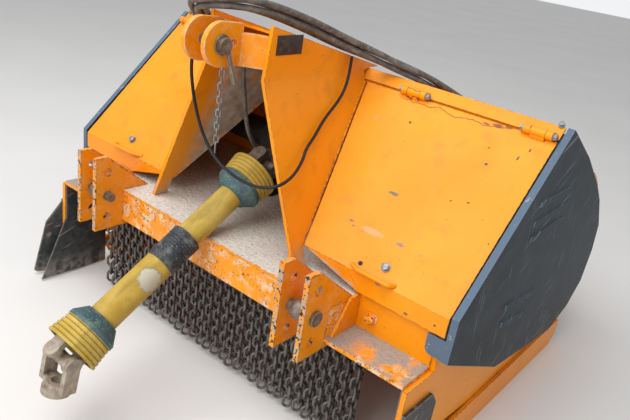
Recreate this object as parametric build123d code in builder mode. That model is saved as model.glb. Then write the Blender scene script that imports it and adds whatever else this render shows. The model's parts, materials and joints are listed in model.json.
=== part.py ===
from build123d import *
from math import asin, atan2, cos, degrees, hypot, radians, sin, sqrt, tan
import os

# Tractor stone crusher on a three-point linkage, seen from the tractor along +Y.
# Millimetres, +X to the machine's left hand when it is followed, +Y to the rear, +Z up.
# Depths called d run rearward from the front face of the hitch beam.

os.makedirs("parts", exist_ok=True)

BEAM_Y = -414.7

SIDES = (("left", -1), ("right", 1))


def y_at(d):
    return BEAM_Y + d


def yz(points):
    return [(y_at(d), z) for d, z in points]


# Side plates
SIDE_OUT = 746.0
SIDE_T = 15.0
SIDE_IN = SIDE_OUT - SIDE_T
SIDE_LOW_FRONT = 146.0
SIDE_LOW_REAR = 36.0

# Front slope, from the fold above the flange to the hinge line of the covers
FOLD_D = 107.0
FOLD_Z = 542.0
HINGE_D = 511.5
HINGE_Z = 933.0
SLOPE = atan2(HINGE_Z - FOLD_Z, HINGE_D - FOLD_D)
SLOPE_LEN = hypot(HINGE_Z - FOLD_Z, HINGE_D - FOLD_D)
RIDGE_D = 546.0
RIDGE_Z = FOLD_Z + (RIDGE_D - FOLD_D) * tan(SLOPE)
SLOPE_PLANE = Plane(origin=(0, y_at(FOLD_D), FOLD_Z), x_dir=(1, 0, 0), z_dir=(0, -sin(SLOPE), cos(SLOPE)))

# Hinged covers
COVER_T = 5.0
COVER_OUT = 757.0
COVER_IN_TOP = 138.0
COVER_IN_FOLD = 293.0
FLANGE_DROP = 54.0
FLANGE_IN_TOP = 440.0
FLANGE_IN_LOW = 490.0
MOVE_GAP = 6.0
KNUCKLE_R = 12.0
KNUCKLE_LEN = 42.0
HINGE_X = (314.0, 704.0)
HINGE_PIN_R = 5.0
RUN_CLEAR = 0.05

# Hitch beam and lower links, category 2
BEAM_DEPTH = 100.0
BEAM_LOW = 382.0
BEAM_TOP = 469.0
FLOOR_T = 8.0
FLOOR_TOP = BEAM_TOP + FLOOR_T
LEDGE_T = 12.0
HITCH_HALF = 435.0
EAR_GAP = 67.0
EAR_T = 16.0
LOWER_PIN_R = 14.0
LOWER_PIN_D = -62.0
LOWER_HOLES_Z = (397.0, 471.5, 549.0)
SMALL_HOLE_R = 12.0
BALL_R = 28.0

# Headstock plates, flared downwards below a soft bend
MAST_D = 57.0
MAST_KNEE_Z = 963.0
MAST_KNEE_X = 118.0
MAST_FLARE = 0.401
MAST_TAPER = 0.01
MAST_TOP_Z = 1104.0
MAST_T = 12.0
TOP_LINK_D = -34.0
TOP_LINK_Z = 1045.0
TOP_PIN_R = 12.5
TOP_EAR_R = 58.0
TOP_EAR_IN = 30.0
TOP_EAR_T = 15.0
TOP_EAR_BEND_D = 38.0

# Rotor
ROTOR_D = 991.0
ROTOR_Z = 390.0
DRUM_R = 165.0
DRUM_WALL = 25.0
DRUM_HALF = 700.0
TIP_R = 298.0
SHAFT_R = 45.0
SHAFT_HALF = 772.0
BEARING_R = 95.0
BEARING_T = 14.0
HOOD_R = 322.0
HOOD_T = 10.0

# Gearbox and driveline
GEAR_D = 470.0
GEAR_Z = 655.0
GEAR_HALF_X = 125.0
GEAR_FRONT = 372.0
GEAR_BACK = 570.0
CROSS_SHAFT_R = 48.0
JOINT_D = 226.0
JOINT_Z = 658.0
DRIVE_LEN = 790.0
INNER_GUARD_R = 39.0
OUTER_GUARD_R = 43.0
GUARD_WALL = 3.0
SEAT = 0.3
DRIVE_ANGLE = atan2(JOINT_Z - FLOOR_TOP, JOINT_D) - asin((INNER_GUARD_R + SEAT) / hypot(JOINT_Z - FLOOR_TOP, JOINT_D))
DRIVE_DIR = Vector(0, -cos(DRIVE_ANGLE), -sin(DRIVE_ANGLE))
YOKE_BEND = radians(48)
YOKE_REACH = 66.0
EYE_R = 23.0
EYE_IN = 38.0
EYE_T = 17.0
TRUNNION_R = 11.0
YOKE_HUB_R = 27.0
TRACTOR_YOKE_LEN = 104.0

# Belt covers
BELT_OUT = 782.0
BELT_STEP = 763.0
BELT_WALL = 5.0

# Skids and side guides
SKID_T = 12.0
SKID_OUT = 758.0
SKID_IN = 676.0
SKID_FRONT = 250.0
SKID_REAR = 1190.0
SKID_TOP = 102.0


# Side plates: slope over the front, rounded about the rotor at the back
def side_outline():
    return yz([
        (0, SIDE_LOW_FRONT), (0, BEAM_LOW - LEDGE_T), (FOLD_D + 20, BEAM_LOW - LEDGE_T),
        (FOLD_D + 20, FOLD_Z - 4), (RIDGE_D, RIDGE_Z - 24), (RIDGE_D + 40, RIDGE_Z - 44),
        (767, 824), (969, 695), (1150, 600), (ROTOR_D + 318, ROTOR_Z), (1240, 120), (1160, SIDE_LOW_REAR),
    ])


for side, sx in SIDES:
    with BuildPart() as side_plate:
        with BuildSketch(Plane.YZ.offset(sx * SIDE_IN)):
            with BuildLine():
                Polyline(side_outline(), close=True)
            make_face()
            with Locations((y_at(ROTOR_D), ROTOR_Z)):
                Circle(SHAFT_R + 12, mode=Mode.SUBTRACT)
            with Locations((y_at(GEAR_D), GEAR_Z)):
                Circle(CROSS_SHAFT_R + 8, mode=Mode.SUBTRACT)
        extrude(amount=sx * SIDE_T)
        with BuildSketch(Plane.YZ.offset(sx * SIDE_OUT)):
            with Locations((y_at(ROTOR_D), ROTOR_Z)):
                Circle(BEARING_R)
                Circle(SHAFT_R + RUN_CLEAR, mode=Mode.SUBTRACT)
        extrude(amount=sx * BEARING_T)
    side_plate.part.label = f"side_plate_{side}"
    export_step(side_plate.part, f"parts/side_plate_{side}.step")

# Hitch beam: box between the link brackets, thin ledge outside them
BRACKET_OUT = HITCH_HALF + EAR_GAP / 2 + EAR_T
with BuildPart() as hitch_beam:
    with BuildSketch(Plane.YZ.offset(-BRACKET_OUT)):
        with Locations((y_at(BEAM_DEPTH / 2), (BEAM_LOW + BEAM_TOP) / 2)):
            Rectangle(BEAM_DEPTH, BEAM_TOP - BEAM_LOW)
    extrude(amount=2 * BRACKET_OUT)
    with BuildSketch(Plane.YZ.offset(-SIDE_IN)):
        with Locations((y_at(FOLD_D / 2 + 10), BEAM_LOW - LEDGE_T / 2)):
            Rectangle(FOLD_D + 20, LEDGE_T)
    extrude(amount=2 * SIDE_IN)
hitch_beam.part.label = "hitch_beam"
export_step(hitch_beam.part, "parts/hitch_beam.step")

# Tunnel floor on the beam, running back to the hood over the rotor
HOOD_FLOOR_D = ROTOR_D - sqrt((HOOD_R + HOOD_T) ** 2 - (FLOOR_TOP - ROTOR_Z) ** 2)
with BuildPart() as tunnel_floor:
    with BuildSketch(Plane.XY.offset(BEAM_TOP)):
        with BuildLine():
            Polyline([
                (-BRACKET_OUT, y_at(0)), (BRACKET_OUT, y_at(0)), (BRACKET_OUT, y_at(FOLD_D + 20)),
                (SIDE_IN, y_at(FOLD_D + 20)), (SIDE_IN, y_at(HOOD_FLOOR_D - 6)),
                (-SIDE_IN, y_at(HOOD_FLOOR_D - 6)), (-SIDE_IN, y_at(FOLD_D + 20)),
                (-BRACKET_OUT, y_at(FOLD_D + 20)),
            ], close=True)
        make_face()
    extrude(amount=FLOOR_T)
tunnel_floor.part.label = "tunnel_floor"
export_step(tunnel_floor.part, "parts/tunnel_floor.step")

# Recessed front panels under the cover flanges
for side, sx in SIDES:
    with BuildPart() as front_panel:
        with BuildSketch(Plane.YZ.offset(sx * (BRACKET_OUT + 1))):
            with Locations((y_at(FOLD_D + 17), (BEAM_LOW + FOLD_Z - 16) / 2)):
                Rectangle(6, FOLD_Z - 16 - BEAM_LOW)
        extrude(amount=sx * (SIDE_IN - BRACKET_OUT - 1))
        with BuildSketch(Plane.YZ.offset(sx * (BRACKET_OUT + 1))):
            with BuildLine():
                Polyline(yz([(20, BEAM_LOW), (FOLD_D + 14, BEAM_LOW), (FOLD_D + 14, 480), (80, 480)]), close=True)
            make_face()
        extrude(amount=sx * 10)
    front_panel.part.label = f"front_panel_{side}"
    export_step(front_panel.part, f"parts/front_panel_{side}.step")


# Headstock plates
def mast_x(d, z):
    return MAST_KNEE_X + MAST_FLARE * max(MAST_KNEE_Z - z, 0) - MAST_TAPER * (d - MAST_D)


def mast_inner(d):
    return mast_x(d, MAST_KNEE_Z) - MAST_T * hypot(1, MAST_TAPER)


def slope_z(d):
    return FOLD_Z + (d - FOLD_D) * tan(SLOPE)


MAST_BACK = HINGE_D
MAST_LOW = [(MAST_D, FLOOR_TOP), (MAST_D, MAST_KNEE_Z), (MAST_BACK, MAST_KNEE_Z), (MAST_BACK, slope_z(MAST_BACK) - 4),
            (FOLD_D, FOLD_Z - 4), (FOLD_D, FLOOR_TOP)]
MAST_END = RIDGE_D + 38
MAST_END_UP = 4.0
MAST_HIGH = [(MAST_D, MAST_KNEE_Z - 5), (MAST_D + 14, MAST_TOP_Z), (MAST_END, RIDGE_Z + MAST_END_UP), (MAST_END, RIDGE_Z + 0.5),
             (RIDGE_D - 4, RIDGE_Z + 0.5), (MAST_BACK, MAST_KNEE_Z - 5)]

for side, sx in SIDES:
    low_plane = Plane(origin=(sx * mast_x(MAST_D, MAST_KNEE_Z), y_at(MAST_D), MAST_KNEE_Z),
                      x_dir=(-sx * MAST_TAPER, 1, 0), z_dir=(sx, MAST_TAPER, sx * sx * MAST_FLARE))
    high_plane = Plane(origin=(sx * mast_x(MAST_D, MAST_KNEE_Z), y_at(MAST_D), MAST_KNEE_Z),
                       x_dir=(-sx * MAST_TAPER, 1, 0), z_dir=(sx, MAST_TAPER, 0))
    with BuildPart() as headstock_plate:
        for plane, outline in ((low_plane, MAST_LOW), (high_plane, MAST_HIGH)):
            corners = [plane.to_local_coords(Vector(sx * mast_x(d, max(z, MAST_KNEE_Z) if plane is high_plane else z), y_at(d), z))
                       for d, z in outline]
            with BuildSketch(plane):
                with BuildLine():
                    Polyline([(c.X, c.Y) for c in corners], close=True)
                make_face()
            extrude(amount=-MAST_T)
        with BuildSketch(SLOPE_PLANE):
            with BuildLine():
                Polyline([
                    (sx * (mast_x(FOLD_D, FOLD_Z) - 14), 0), (sx * (COVER_IN_FOLD - MOVE_GAP), 0),
                    (sx * (COVER_IN_TOP - MOVE_GAP), SLOPE_LEN - 4), (sx * (mast_x(HINGE_D, HINGE_Z) - 14), SLOPE_LEN - 4),
                ], close=True)
            make_face()
        extrude(amount=-6)
        with BuildSketch(Plane.XY):
            Rectangle(3000, 3000)
        extrude(amount=FLOOR_TOP, mode=Mode.SUBTRACT)
    headstock_plate.part.label = f"headstock_plate_{side}"
    export_step(headstock_plate.part, f"parts/headstock_plate_{side}.step")

# Cap over the headstock, following the top edges of the plates
CAP_T = 8.0
with BuildPart() as headstock_cap:
    with BuildSketch(Plane.YZ.offset(-160)):
        with BuildLine():
            Polyline(yz([(MAST_D + 16, MAST_TOP_Z - 14), (MAST_D + 16, MAST_TOP_Z - 14 - CAP_T),
                         (MAST_END, RIDGE_Z + MAST_END_UP - 1 - CAP_T), (MAST_END, RIDGE_Z + MAST_END_UP - 1)]), close=True)
        make_face()
    extrude(amount=320)
    with BuildSketch(Plane.XY.offset(MAST_KNEE_Z - 40)):
        with BuildLine():
            Polyline([(sx * mast_inner(d), y_at(d)) for sx, d in
                      ((-1, MAST_D), (1, MAST_D), (1, MAST_END), (-1, MAST_END))], close=True)
        make_face()
    extrude(amount=300, mode=Mode.INTERSECT)
headstock_cap.part.label = "headstock_cap"
export_step(headstock_cap.part, "parts/headstock_cap.step")

# Top link bracket: two ears with round noses, spread at the back to meet the plates
with BuildPart() as top_link_bracket:
    for sx in (-1, 1):
        with BuildSketch(Plane.YZ.offset(sx * TOP_EAR_IN)):
            with Locations((y_at(TOP_LINK_D), TOP_LINK_Z)):
                Circle(TOP_EAR_R)
            with BuildLine():
                Polyline(yz([(TOP_LINK_D, TOP_LINK_Z - TOP_EAR_R), (TOP_LINK_D, TOP_LINK_Z + TOP_EAR_R),
                             (TOP_EAR_BEND_D, TOP_LINK_Z + TOP_EAR_R - 6), (TOP_EAR_BEND_D, TOP_LINK_Z - TOP_EAR_R)]), close=True)
            make_face()
            with Locations((y_at(TOP_LINK_D), TOP_LINK_Z)):
                Circle(TOP_PIN_R + 0.25, mode=Mode.SUBTRACT)
            with Locations((y_at(TOP_LINK_D + 40), TOP_LINK_Z + 3)):
                Circle(11, mode=Mode.SUBTRACT)
        extrude(amount=sx * TOP_EAR_T)
        with BuildSketch(Plane.XY.offset(TOP_LINK_Z - TOP_EAR_R)):
            with BuildLine():
                Polyline([(sx * TOP_EAR_IN, y_at(TOP_EAR_BEND_D)), (sx * (TOP_EAR_IN + TOP_EAR_T), y_at(TOP_EAR_BEND_D - 4)),
                          (sx * mast_inner(MAST_D + 18), y_at(MAST_D + 18)), (sx * mast_inner(MAST_D + 40), y_at(MAST_D + 40))], close=True)
            make_face()
        extrude(amount=MAST_TOP_Z - 30 - TOP_LINK_Z + TOP_EAR_R)
    with BuildSketch(Plane.XY.offset(TOP_LINK_Z - TOP_EAR_R)):
        with BuildLine():
            Polyline([(-TOP_EAR_IN - 4, y_at(20)), (TOP_EAR_IN + 4, y_at(20)), (mast_inner(MAST_D + 30), y_at(MAST_D + 30)),
                      (mast_inner(MAST_D + 110), y_at(MAST_D + 110)), (-mast_inner(MAST_D + 110), y_at(MAST_D + 110)),
                      (-mast_inner(MAST_D + 30), y_at(MAST_D + 30))], close=True)
        make_face()
    extrude(amount=8)
top_link_bracket.part.label = "top_link_bracket"
export_step(top_link_bracket.part, "parts/top_link_bracket.step")

# Top link pin with its head and bent handle
with BuildPart() as top_link_pin:
    with BuildSketch(Plane.YZ.offset(-TOP_EAR_IN - TOP_EAR_T - 22)):
        with Locations((y_at(TOP_LINK_D), TOP_LINK_Z)):
            Circle(TOP_PIN_R)
    extrude(amount=2 * (TOP_EAR_IN + TOP_EAR_T) + 22 + 3)
    with BuildSketch(Plane.YZ.offset(TOP_EAR_IN + TOP_EAR_T + 1)):
        with Locations((y_at(TOP_LINK_D), TOP_LINK_Z)):
            Circle(21)
    extrude(amount=16)
    with BuildSketch(Plane.YZ.offset(TOP_EAR_IN + TOP_EAR_T + 12)):
        with BuildLine():
            Polyline(yz([(TOP_LINK_D + 4, TOP_LINK_Z + 4), (TOP_LINK_D + 46, TOP_LINK_Z - 96), (TOP_LINK_D + 36, TOP_LINK_Z - 100),
                         (TOP_LINK_D - 6, TOP_LINK_Z)]), close=True)
        make_face()
    extrude(amount=10)
top_link_pin.part.label = "top_link_pin"
export_step(top_link_pin.part, "parts/top_link_pin.step")

# Lower link brackets: two drilled plates each, notched over the beam
for side, sx in SIDES:
    with BuildPart() as link_bracket:
        for plate_x in (HITCH_HALF - EAR_GAP / 2 - EAR_T, HITCH_HALF + EAR_GAP / 2):
            with BuildSketch(Plane.YZ.offset(sx * plate_x)):
                with BuildLine():
                    Polyline(yz([(-104, 601), (-61, 601), (95, 480), (60, 404), (25, 353), (-104, 353)]), close=True)
                make_face()
                with BuildLine():
                    Polyline(yz([(0, FLOOR_TOP), (200, FLOOR_TOP), (200, BEAM_LOW - LEDGE_T), (0, BEAM_LOW - LEDGE_T)]),
                             close=True)
                make_face(mode=Mode.SUBTRACT)
                for z in LOWER_HOLES_Z:
                    with Locations((y_at(LOWER_PIN_D), z)):
                        Circle(LOWER_PIN_R + 0.25 if z == LOWER_HOLES_Z[1] else SMALL_HOLE_R, mode=Mode.SUBTRACT)
            extrude(amount=sx * EAR_T)
    link_bracket.part.label = f"lower_link_bracket_{side}"
    export_step(link_bracket.part, f"parts/lower_link_bracket_{side}.step")

    with BuildPart() as link_pin:
        with BuildSketch(Plane.YZ.offset(sx * (HITCH_HALF - EAR_GAP / 2 - EAR_T - 26))):
            with Locations((y_at(LOWER_PIN_D), LOWER_HOLES_Z[1])):
                Circle(LOWER_PIN_R)
        extrude(amount=sx * (EAR_GAP + 2 * EAR_T + 26 + 2))
        with BuildSketch(Plane.YZ.offset(sx * (BRACKET_OUT + 1))):
            with Locations((y_at(LOWER_PIN_D), LOWER_HOLES_Z[1])):
                Circle(21)
        extrude(amount=sx * 9)
    link_pin.part.label = f"lower_link_pin_{side}"
    export_step(link_pin.part, f"parts/lower_link_pin_{side}.step")

    with BuildPart() as link_ball:
        with BuildSketch(Plane.XZ):
            with BuildLine():
                CenterArc((0, 0), BALL_R, -38, 76)
                Line((BALL_R * cos(radians(38)), BALL_R * sin(radians(38))), (LOWER_PIN_R + 0.3, BALL_R * sin(radians(38))))
                Line((LOWER_PIN_R + 0.3, BALL_R * sin(radians(38))), (LOWER_PIN_R + 0.3, -BALL_R * sin(radians(38))))
                Line((LOWER_PIN_R + 0.3, -BALL_R * sin(radians(38))), (BALL_R * cos(radians(38)), -BALL_R * sin(radians(38))))
            make_face()
        revolve(axis=Axis.Z)
    link_ball.part = Pos(sx * HITCH_HALF, y_at(LOWER_PIN_D), LOWER_HOLES_Z[1]) * Rot(0, 90, 0) * link_ball.part
    link_ball.part.label = f"lower_link_ball_{side}"
    export_step(link_ball.part, f"parts/lower_link_ball_{side}.step")

# Ridge beam behind the hinge line, with the fixed knuckles and pins of the covers
def hinge_plane(x):
    return Plane(origin=(x, y_at(HINGE_D), HINGE_Z), x_dir=(0, cos(SLOPE), sin(SLOPE)), z_dir=(1, 0, 0))


KNUCKLE_UP = KNUCKLE_R + 1
KNUCKLE_END = 19.0
HINGE_AXIS_Y = y_at(HINGE_D) - KNUCKLE_UP * sin(SLOPE)
HINGE_AXIS_Z = HINGE_Z + KNUCKLE_UP * cos(SLOPE)

with BuildPart() as ridge_beam:
    with BuildSketch(Plane.YZ.offset(-SIDE_IN)):
        with BuildLine():
            Polyline(yz([(HINGE_D + 8, slope_z(HINGE_D + 8) - 5), (RIDGE_D, RIDGE_Z - 5), (RIDGE_D + 40, RIDGE_Z - 20),
                         (RIDGE_D + 40, RIDGE_Z - 92), (HINGE_D + 8, RIDGE_Z - 92)]), close=True)
        make_face()
    extrude(amount=2 * SIDE_IN)
    with BuildSketch(SLOPE_PLANE):
        with Locations((0, SLOPE_LEN + 25)):
            Rectangle(2 * COVER_OUT, 42)
    extrude(amount=-6)
    for x in [sx * hx for sx in (-1, 1) for hx in HINGE_X]:
        for start in (-KNUCKLE_LEN / 2 - 1 - KNUCKLE_END, KNUCKLE_LEN / 2 + 1):
            with BuildSketch(hinge_plane(x + start)):
                with Locations((0, KNUCKLE_UP)):
                    Circle(KNUCKLE_R)
                with BuildLine():
                    Polyline([(0, 2), (5, -1), (20, -1), (20, 4), (6, 22)], close=True)
                make_face()
            extrude(amount=KNUCKLE_END)
        with BuildSketch(hinge_plane(x - KNUCKLE_LEN / 2 - 1 - KNUCKLE_END)):
            with Locations((0, KNUCKLE_UP)):
                Circle(HINGE_PIN_R)
        extrude(amount=KNUCKLE_LEN + 2 + 2 * KNUCKLE_END)
ridge_beam.part.label = "ridge_beam"
export_step(ridge_beam.part, "parts/ridge_beam.step")

# Hinged covers: sloping panel, folded flange, knuckles and a bent rod handle
HANDLE_X = (451.0, 484.0, 580.0, 589.0)
HANDLE_R = 6.0
HANDLE_OUT = 12.0
HANDLE_UP = 14.0
for side, sx in SIDES:
    with BuildPart() as cover:
        with BuildSketch(SLOPE_PLANE):
            with BuildLine():
                Polyline([(sx * COVER_IN_FOLD, 0), (sx * COVER_OUT, 0), (sx * COVER_OUT, SLOPE_LEN - 4),
                          (sx * COVER_IN_TOP, SLOPE_LEN - 4)], close=True)
            make_face()
        extrude(amount=-COVER_T)
        with BuildSketch(Plane.XZ.offset(-y_at(FOLD_D))):
            with BuildLine():
                Polyline([(sx * FLANGE_IN_TOP, FOLD_Z), (sx * COVER_OUT, FOLD_Z), (sx * COVER_OUT, FOLD_Z - FLANGE_DROP),
                          (sx * FLANGE_IN_LOW, FOLD_Z - FLANGE_DROP)], close=True)
            make_face()
        extrude(amount=-COVER_T)
        for hx in HINGE_X:
            with BuildSketch(hinge_plane(sx * hx - KNUCKLE_LEN / 2)):
                with Locations((0, KNUCKLE_UP)):
                    Circle(KNUCKLE_R)
                with BuildLine():
                    Polyline([(0, 2), (-5, -1), (-16, -1), (-16, 4), (-6, 22)], close=True)
                make_face()
                with Locations((0, KNUCKLE_UP)):
                    Circle(HINGE_PIN_R + RUN_CLEAR, mode=Mode.SUBTRACT)
            extrude(amount=KNUCKLE_LEN)
            with BuildSketch(hinge_plane(sx * hx - KNUCKLE_LEN / 2 - 1 - KNUCKLE_END - 6)):
                with BuildLine():
                    Polyline([(-5, -12), (36, -12), (36, 30), (-5, 30)], close=True)
                make_face()
            extrude(amount=KNUCKLE_END + 7, mode=Mode.SUBTRACT)
            with BuildSketch(hinge_plane(sx * hx + KNUCKLE_LEN / 2)):
                with BuildLine():
                    Polyline([(-5, -12), (36, -12), (36, 30), (-5, 30)], close=True)
                make_face()
            extrude(amount=KNUCKLE_END + 7, mode=Mode.SUBTRACT)
        with BuildLine() as rod:
            FilletPolyline((sx * HANDLE_X[0], y_at(FOLD_D + 12), FOLD_Z + 8),
                           (sx * HANDLE_X[1], y_at(FOLD_D - HANDLE_OUT), FOLD_Z + HANDLE_UP),
                           (sx * HANDLE_X[2], y_at(FOLD_D - HANDLE_OUT), FOLD_Z + HANDLE_UP),
                           (sx * HANDLE_X[3], y_at(FOLD_D + 12), FOLD_Z + 8), radius=9)
        with BuildSketch(Plane(rod.line @ 0, z_dir=rod.line % 0)):
            Circle(HANDLE_R)
        sweep(path=rod.line)
    cover.part.label = f"cover_{side}"
    export_step(cover.part, f"parts/cover_{side}.step")

# Rear deck between the side plates, with the door's hinge lugs and the cylinder brackets
DOOR_HINGE_D = 925.0
DOOR_HINGE_Z = 738.0
DOOR_HINGE_X = (-600.0, -200.0, 200.0, 600.0)
DOOR_LUG_T = 14.0
DOOR_KNUCKLE_R = 18.0
DOOR_KNUCKLE_LEN = 34.0
DOOR_PIN_R = 9.0
DECK_T = 6.0
DECK_TOP = [(RIDGE_D + 40, RIDGE_Z - 26), (767, 842), (896, 762)]
CYL_X = 430.0
BARREL_PIVOT_D = 725.0
BARREL_PIVOT_Z = 897.0
EYE_PIN_R = 12.0
BRACKET_T = 12.0
BRACKET_IN = 22.0
BRACKET_NOSE_R = 26.0
with BuildPart() as rear_deck:
    with BuildSketch(Plane.YZ.offset(-SIDE_IN)):
        with BuildLine():
            Polyline(yz(DECK_TOP + [(d, z - DECK_T) for d, z in reversed(DECK_TOP)]), close=True)
        make_face()
        with Locations((y_at(884), 738)):
            Rectangle(24, 40)
    extrude(amount=2 * SIDE_IN)
    for x in DOOR_HINGE_X:
        with BuildSketch(Plane.YZ.offset(x - DOOR_LUG_T / 2)):
            with Locations((y_at(DOOR_HINGE_D), DOOR_HINGE_Z)):
                Circle(DOOR_KNUCKLE_R)
            with BuildLine():
                Polyline(yz([(880, 756), (DOOR_HINGE_D, DOOR_HINGE_Z + DOOR_KNUCKLE_R), (DOOR_HINGE_D, DOOR_HINGE_Z - DOOR_KNUCKLE_R),
                             (880, 720)]), close=True)
            make_face()
        extrude(amount=DOOR_LUG_T)
        with BuildSketch(Plane.YZ.offset(x - DOOR_LUG_T / 2 - DOOR_KNUCKLE_LEN)):
            with Locations((y_at(DOOR_HINGE_D), DOOR_HINGE_Z)):
                Circle(DOOR_PIN_R)
        extrude(amount=DOOR_LUG_T + 2 * DOOR_KNUCKLE_LEN)
    for sx in (-1, 1):
        x = sx * CYL_X
        for start in (x - BRACKET_IN - BRACKET_T, x + BRACKET_IN):
            with BuildSketch(Plane.YZ.offset(start)):
                with Locations((y_at(BARREL_PIVOT_D), BARREL_PIVOT_Z)):
                    Circle(BRACKET_NOSE_R)
                with BuildLine():
                    Polyline(yz([(BARREL_PIVOT_D - BRACKET_NOSE_R, BARREL_PIVOT_Z), (BARREL_PIVOT_D + BRACKET_NOSE_R, BARREL_PIVOT_Z),
                                 (BARREL_PIVOT_D + 50, 834), (BARREL_PIVOT_D - 55, 891)]), close=True)
                make_face()
            extrude(amount=BRACKET_T)
        with BuildSketch(Plane.YZ.offset(x - BRACKET_IN - BRACKET_T)):
            with Locations((y_at(BARREL_PIVOT_D), BARREL_PIVOT_Z)):
                Circle(EYE_PIN_R)
        extrude(amount=2 * (BRACKET_IN + BRACKET_T))
rear_deck.part.label = "rear_deck"
export_step(rear_deck.part, "parts/rear_deck.step")

# Hood over the rotor, from the tunnel floor over the top to the door
with BuildPart() as rotor_hood:
    with BuildSketch(Plane.YZ.offset(-SIDE_IN)):
        with Locations((y_at(ROTOR_D), ROTOR_Z)):
            Circle(HOOD_R + HOOD_T)
            Circle(HOOD_R, mode=Mode.SUBTRACT)
        with BuildLine():
            Polyline(yz([(ROTOR_D - 500, FLOOR_TOP - 40), (ROTOR_D, ROTOR_Z), (905, 725), (905, 900), (ROTOR_D - 500, 900)]), close=True)
        make_face(mode=Mode.INTERSECT)
    extrude(amount=2 * SIDE_IN)
rotor_hood.part.label = "rotor_hood"
export_step(rotor_hood.part, "parts/rotor_hood.step")

# Rear door: bent plate round the back of the rotor, hinged under the deck's end
DOOR_HALF = SIDE_IN - 8
DOOR_R = 338.0
DOOR_T = 10.0
DOOR_LOW_Z = 205.0
LUG_D = 1105.0
LUG_Z = 752.0
with BuildPart() as rear_door:
    with BuildSketch(Plane.YZ.offset(-DOOR_HALF)):
        with Locations((y_at(ROTOR_D), ROTOR_Z)):
            Circle(DOOR_R + DOOR_T)
            Circle(DOOR_R, mode=Mode.SUBTRACT)
        with BuildLine():
            Polyline(yz([(ROTOR_D - 54, 800), (ROTOR_D - 54, ROTOR_Z + 300), (ROTOR_D, ROTOR_Z), (ROTOR_D + 200, DOOR_LOW_Z),
                         (1400, DOOR_LOW_Z), (1400, 800)]), close=True)
        make_face(mode=Mode.INTERSECT)
        with Locations((y_at(DOOR_HINGE_D + 6), DOOR_HINGE_Z - 8)):
            Rectangle(26, 22)
    extrude(amount=2 * DOOR_HALF)
    for x in DOOR_HINGE_X:
        with BuildSketch(Plane.YZ.offset(x - DOOR_LUG_T / 2 - DOOR_KNUCKLE_LEN)):
            with Locations((y_at(DOOR_HINGE_D), DOOR_HINGE_Z)):
                Circle(DOOR_KNUCKLE_R)
        extrude(amount=DOOR_LUG_T + 2 * DOOR_KNUCKLE_LEN)
        with BuildSketch(Plane.YZ.offset(x - DOOR_LUG_T / 2 - DOOR_KNUCKLE_LEN - 1)):
            with Locations((y_at(DOOR_HINGE_D), DOOR_HINGE_Z)):
                Circle(DOOR_PIN_R + RUN_CLEAR)
        extrude(amount=DOOR_LUG_T + 2 * DOOR_KNUCKLE_LEN + 2, mode=Mode.SUBTRACT)
        with BuildSketch(Plane.YZ.offset(x - DOOR_LUG_T / 2 - 1)):
            with Locations((y_at(DOOR_HINGE_D), DOOR_HINGE_Z)):
                Circle(DOOR_KNUCKLE_R + MOVE_GAP)
        extrude(amount=DOOR_LUG_T + 2, mode=Mode.SUBTRACT)
    for x in (-CYL_X, CYL_X):
        for start in (x - 32, x + 20):
            with BuildSketch(Plane.YZ.offset(start)):
                with Locations((y_at(LUG_D), LUG_Z)):
                    Circle(24)
                with BuildLine():
                    Polyline(yz([(LUG_D - 24, LUG_Z), (LUG_D + 24, LUG_Z), (LUG_D + 70, LUG_Z - 60), (LUG_D - 60, LUG_Z - 30)]), close=True)
                make_face()
            extrude(amount=12)
        with BuildSketch(Plane.YZ.offset(x - 32)):
            with Locations((y_at(LUG_D), LUG_Z)):
                Circle(EYE_PIN_R)
        extrude(amount=64)
rear_door.part.label = "rear_door"
export_step(rear_door.part, "parts/rear_door.step")

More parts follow.
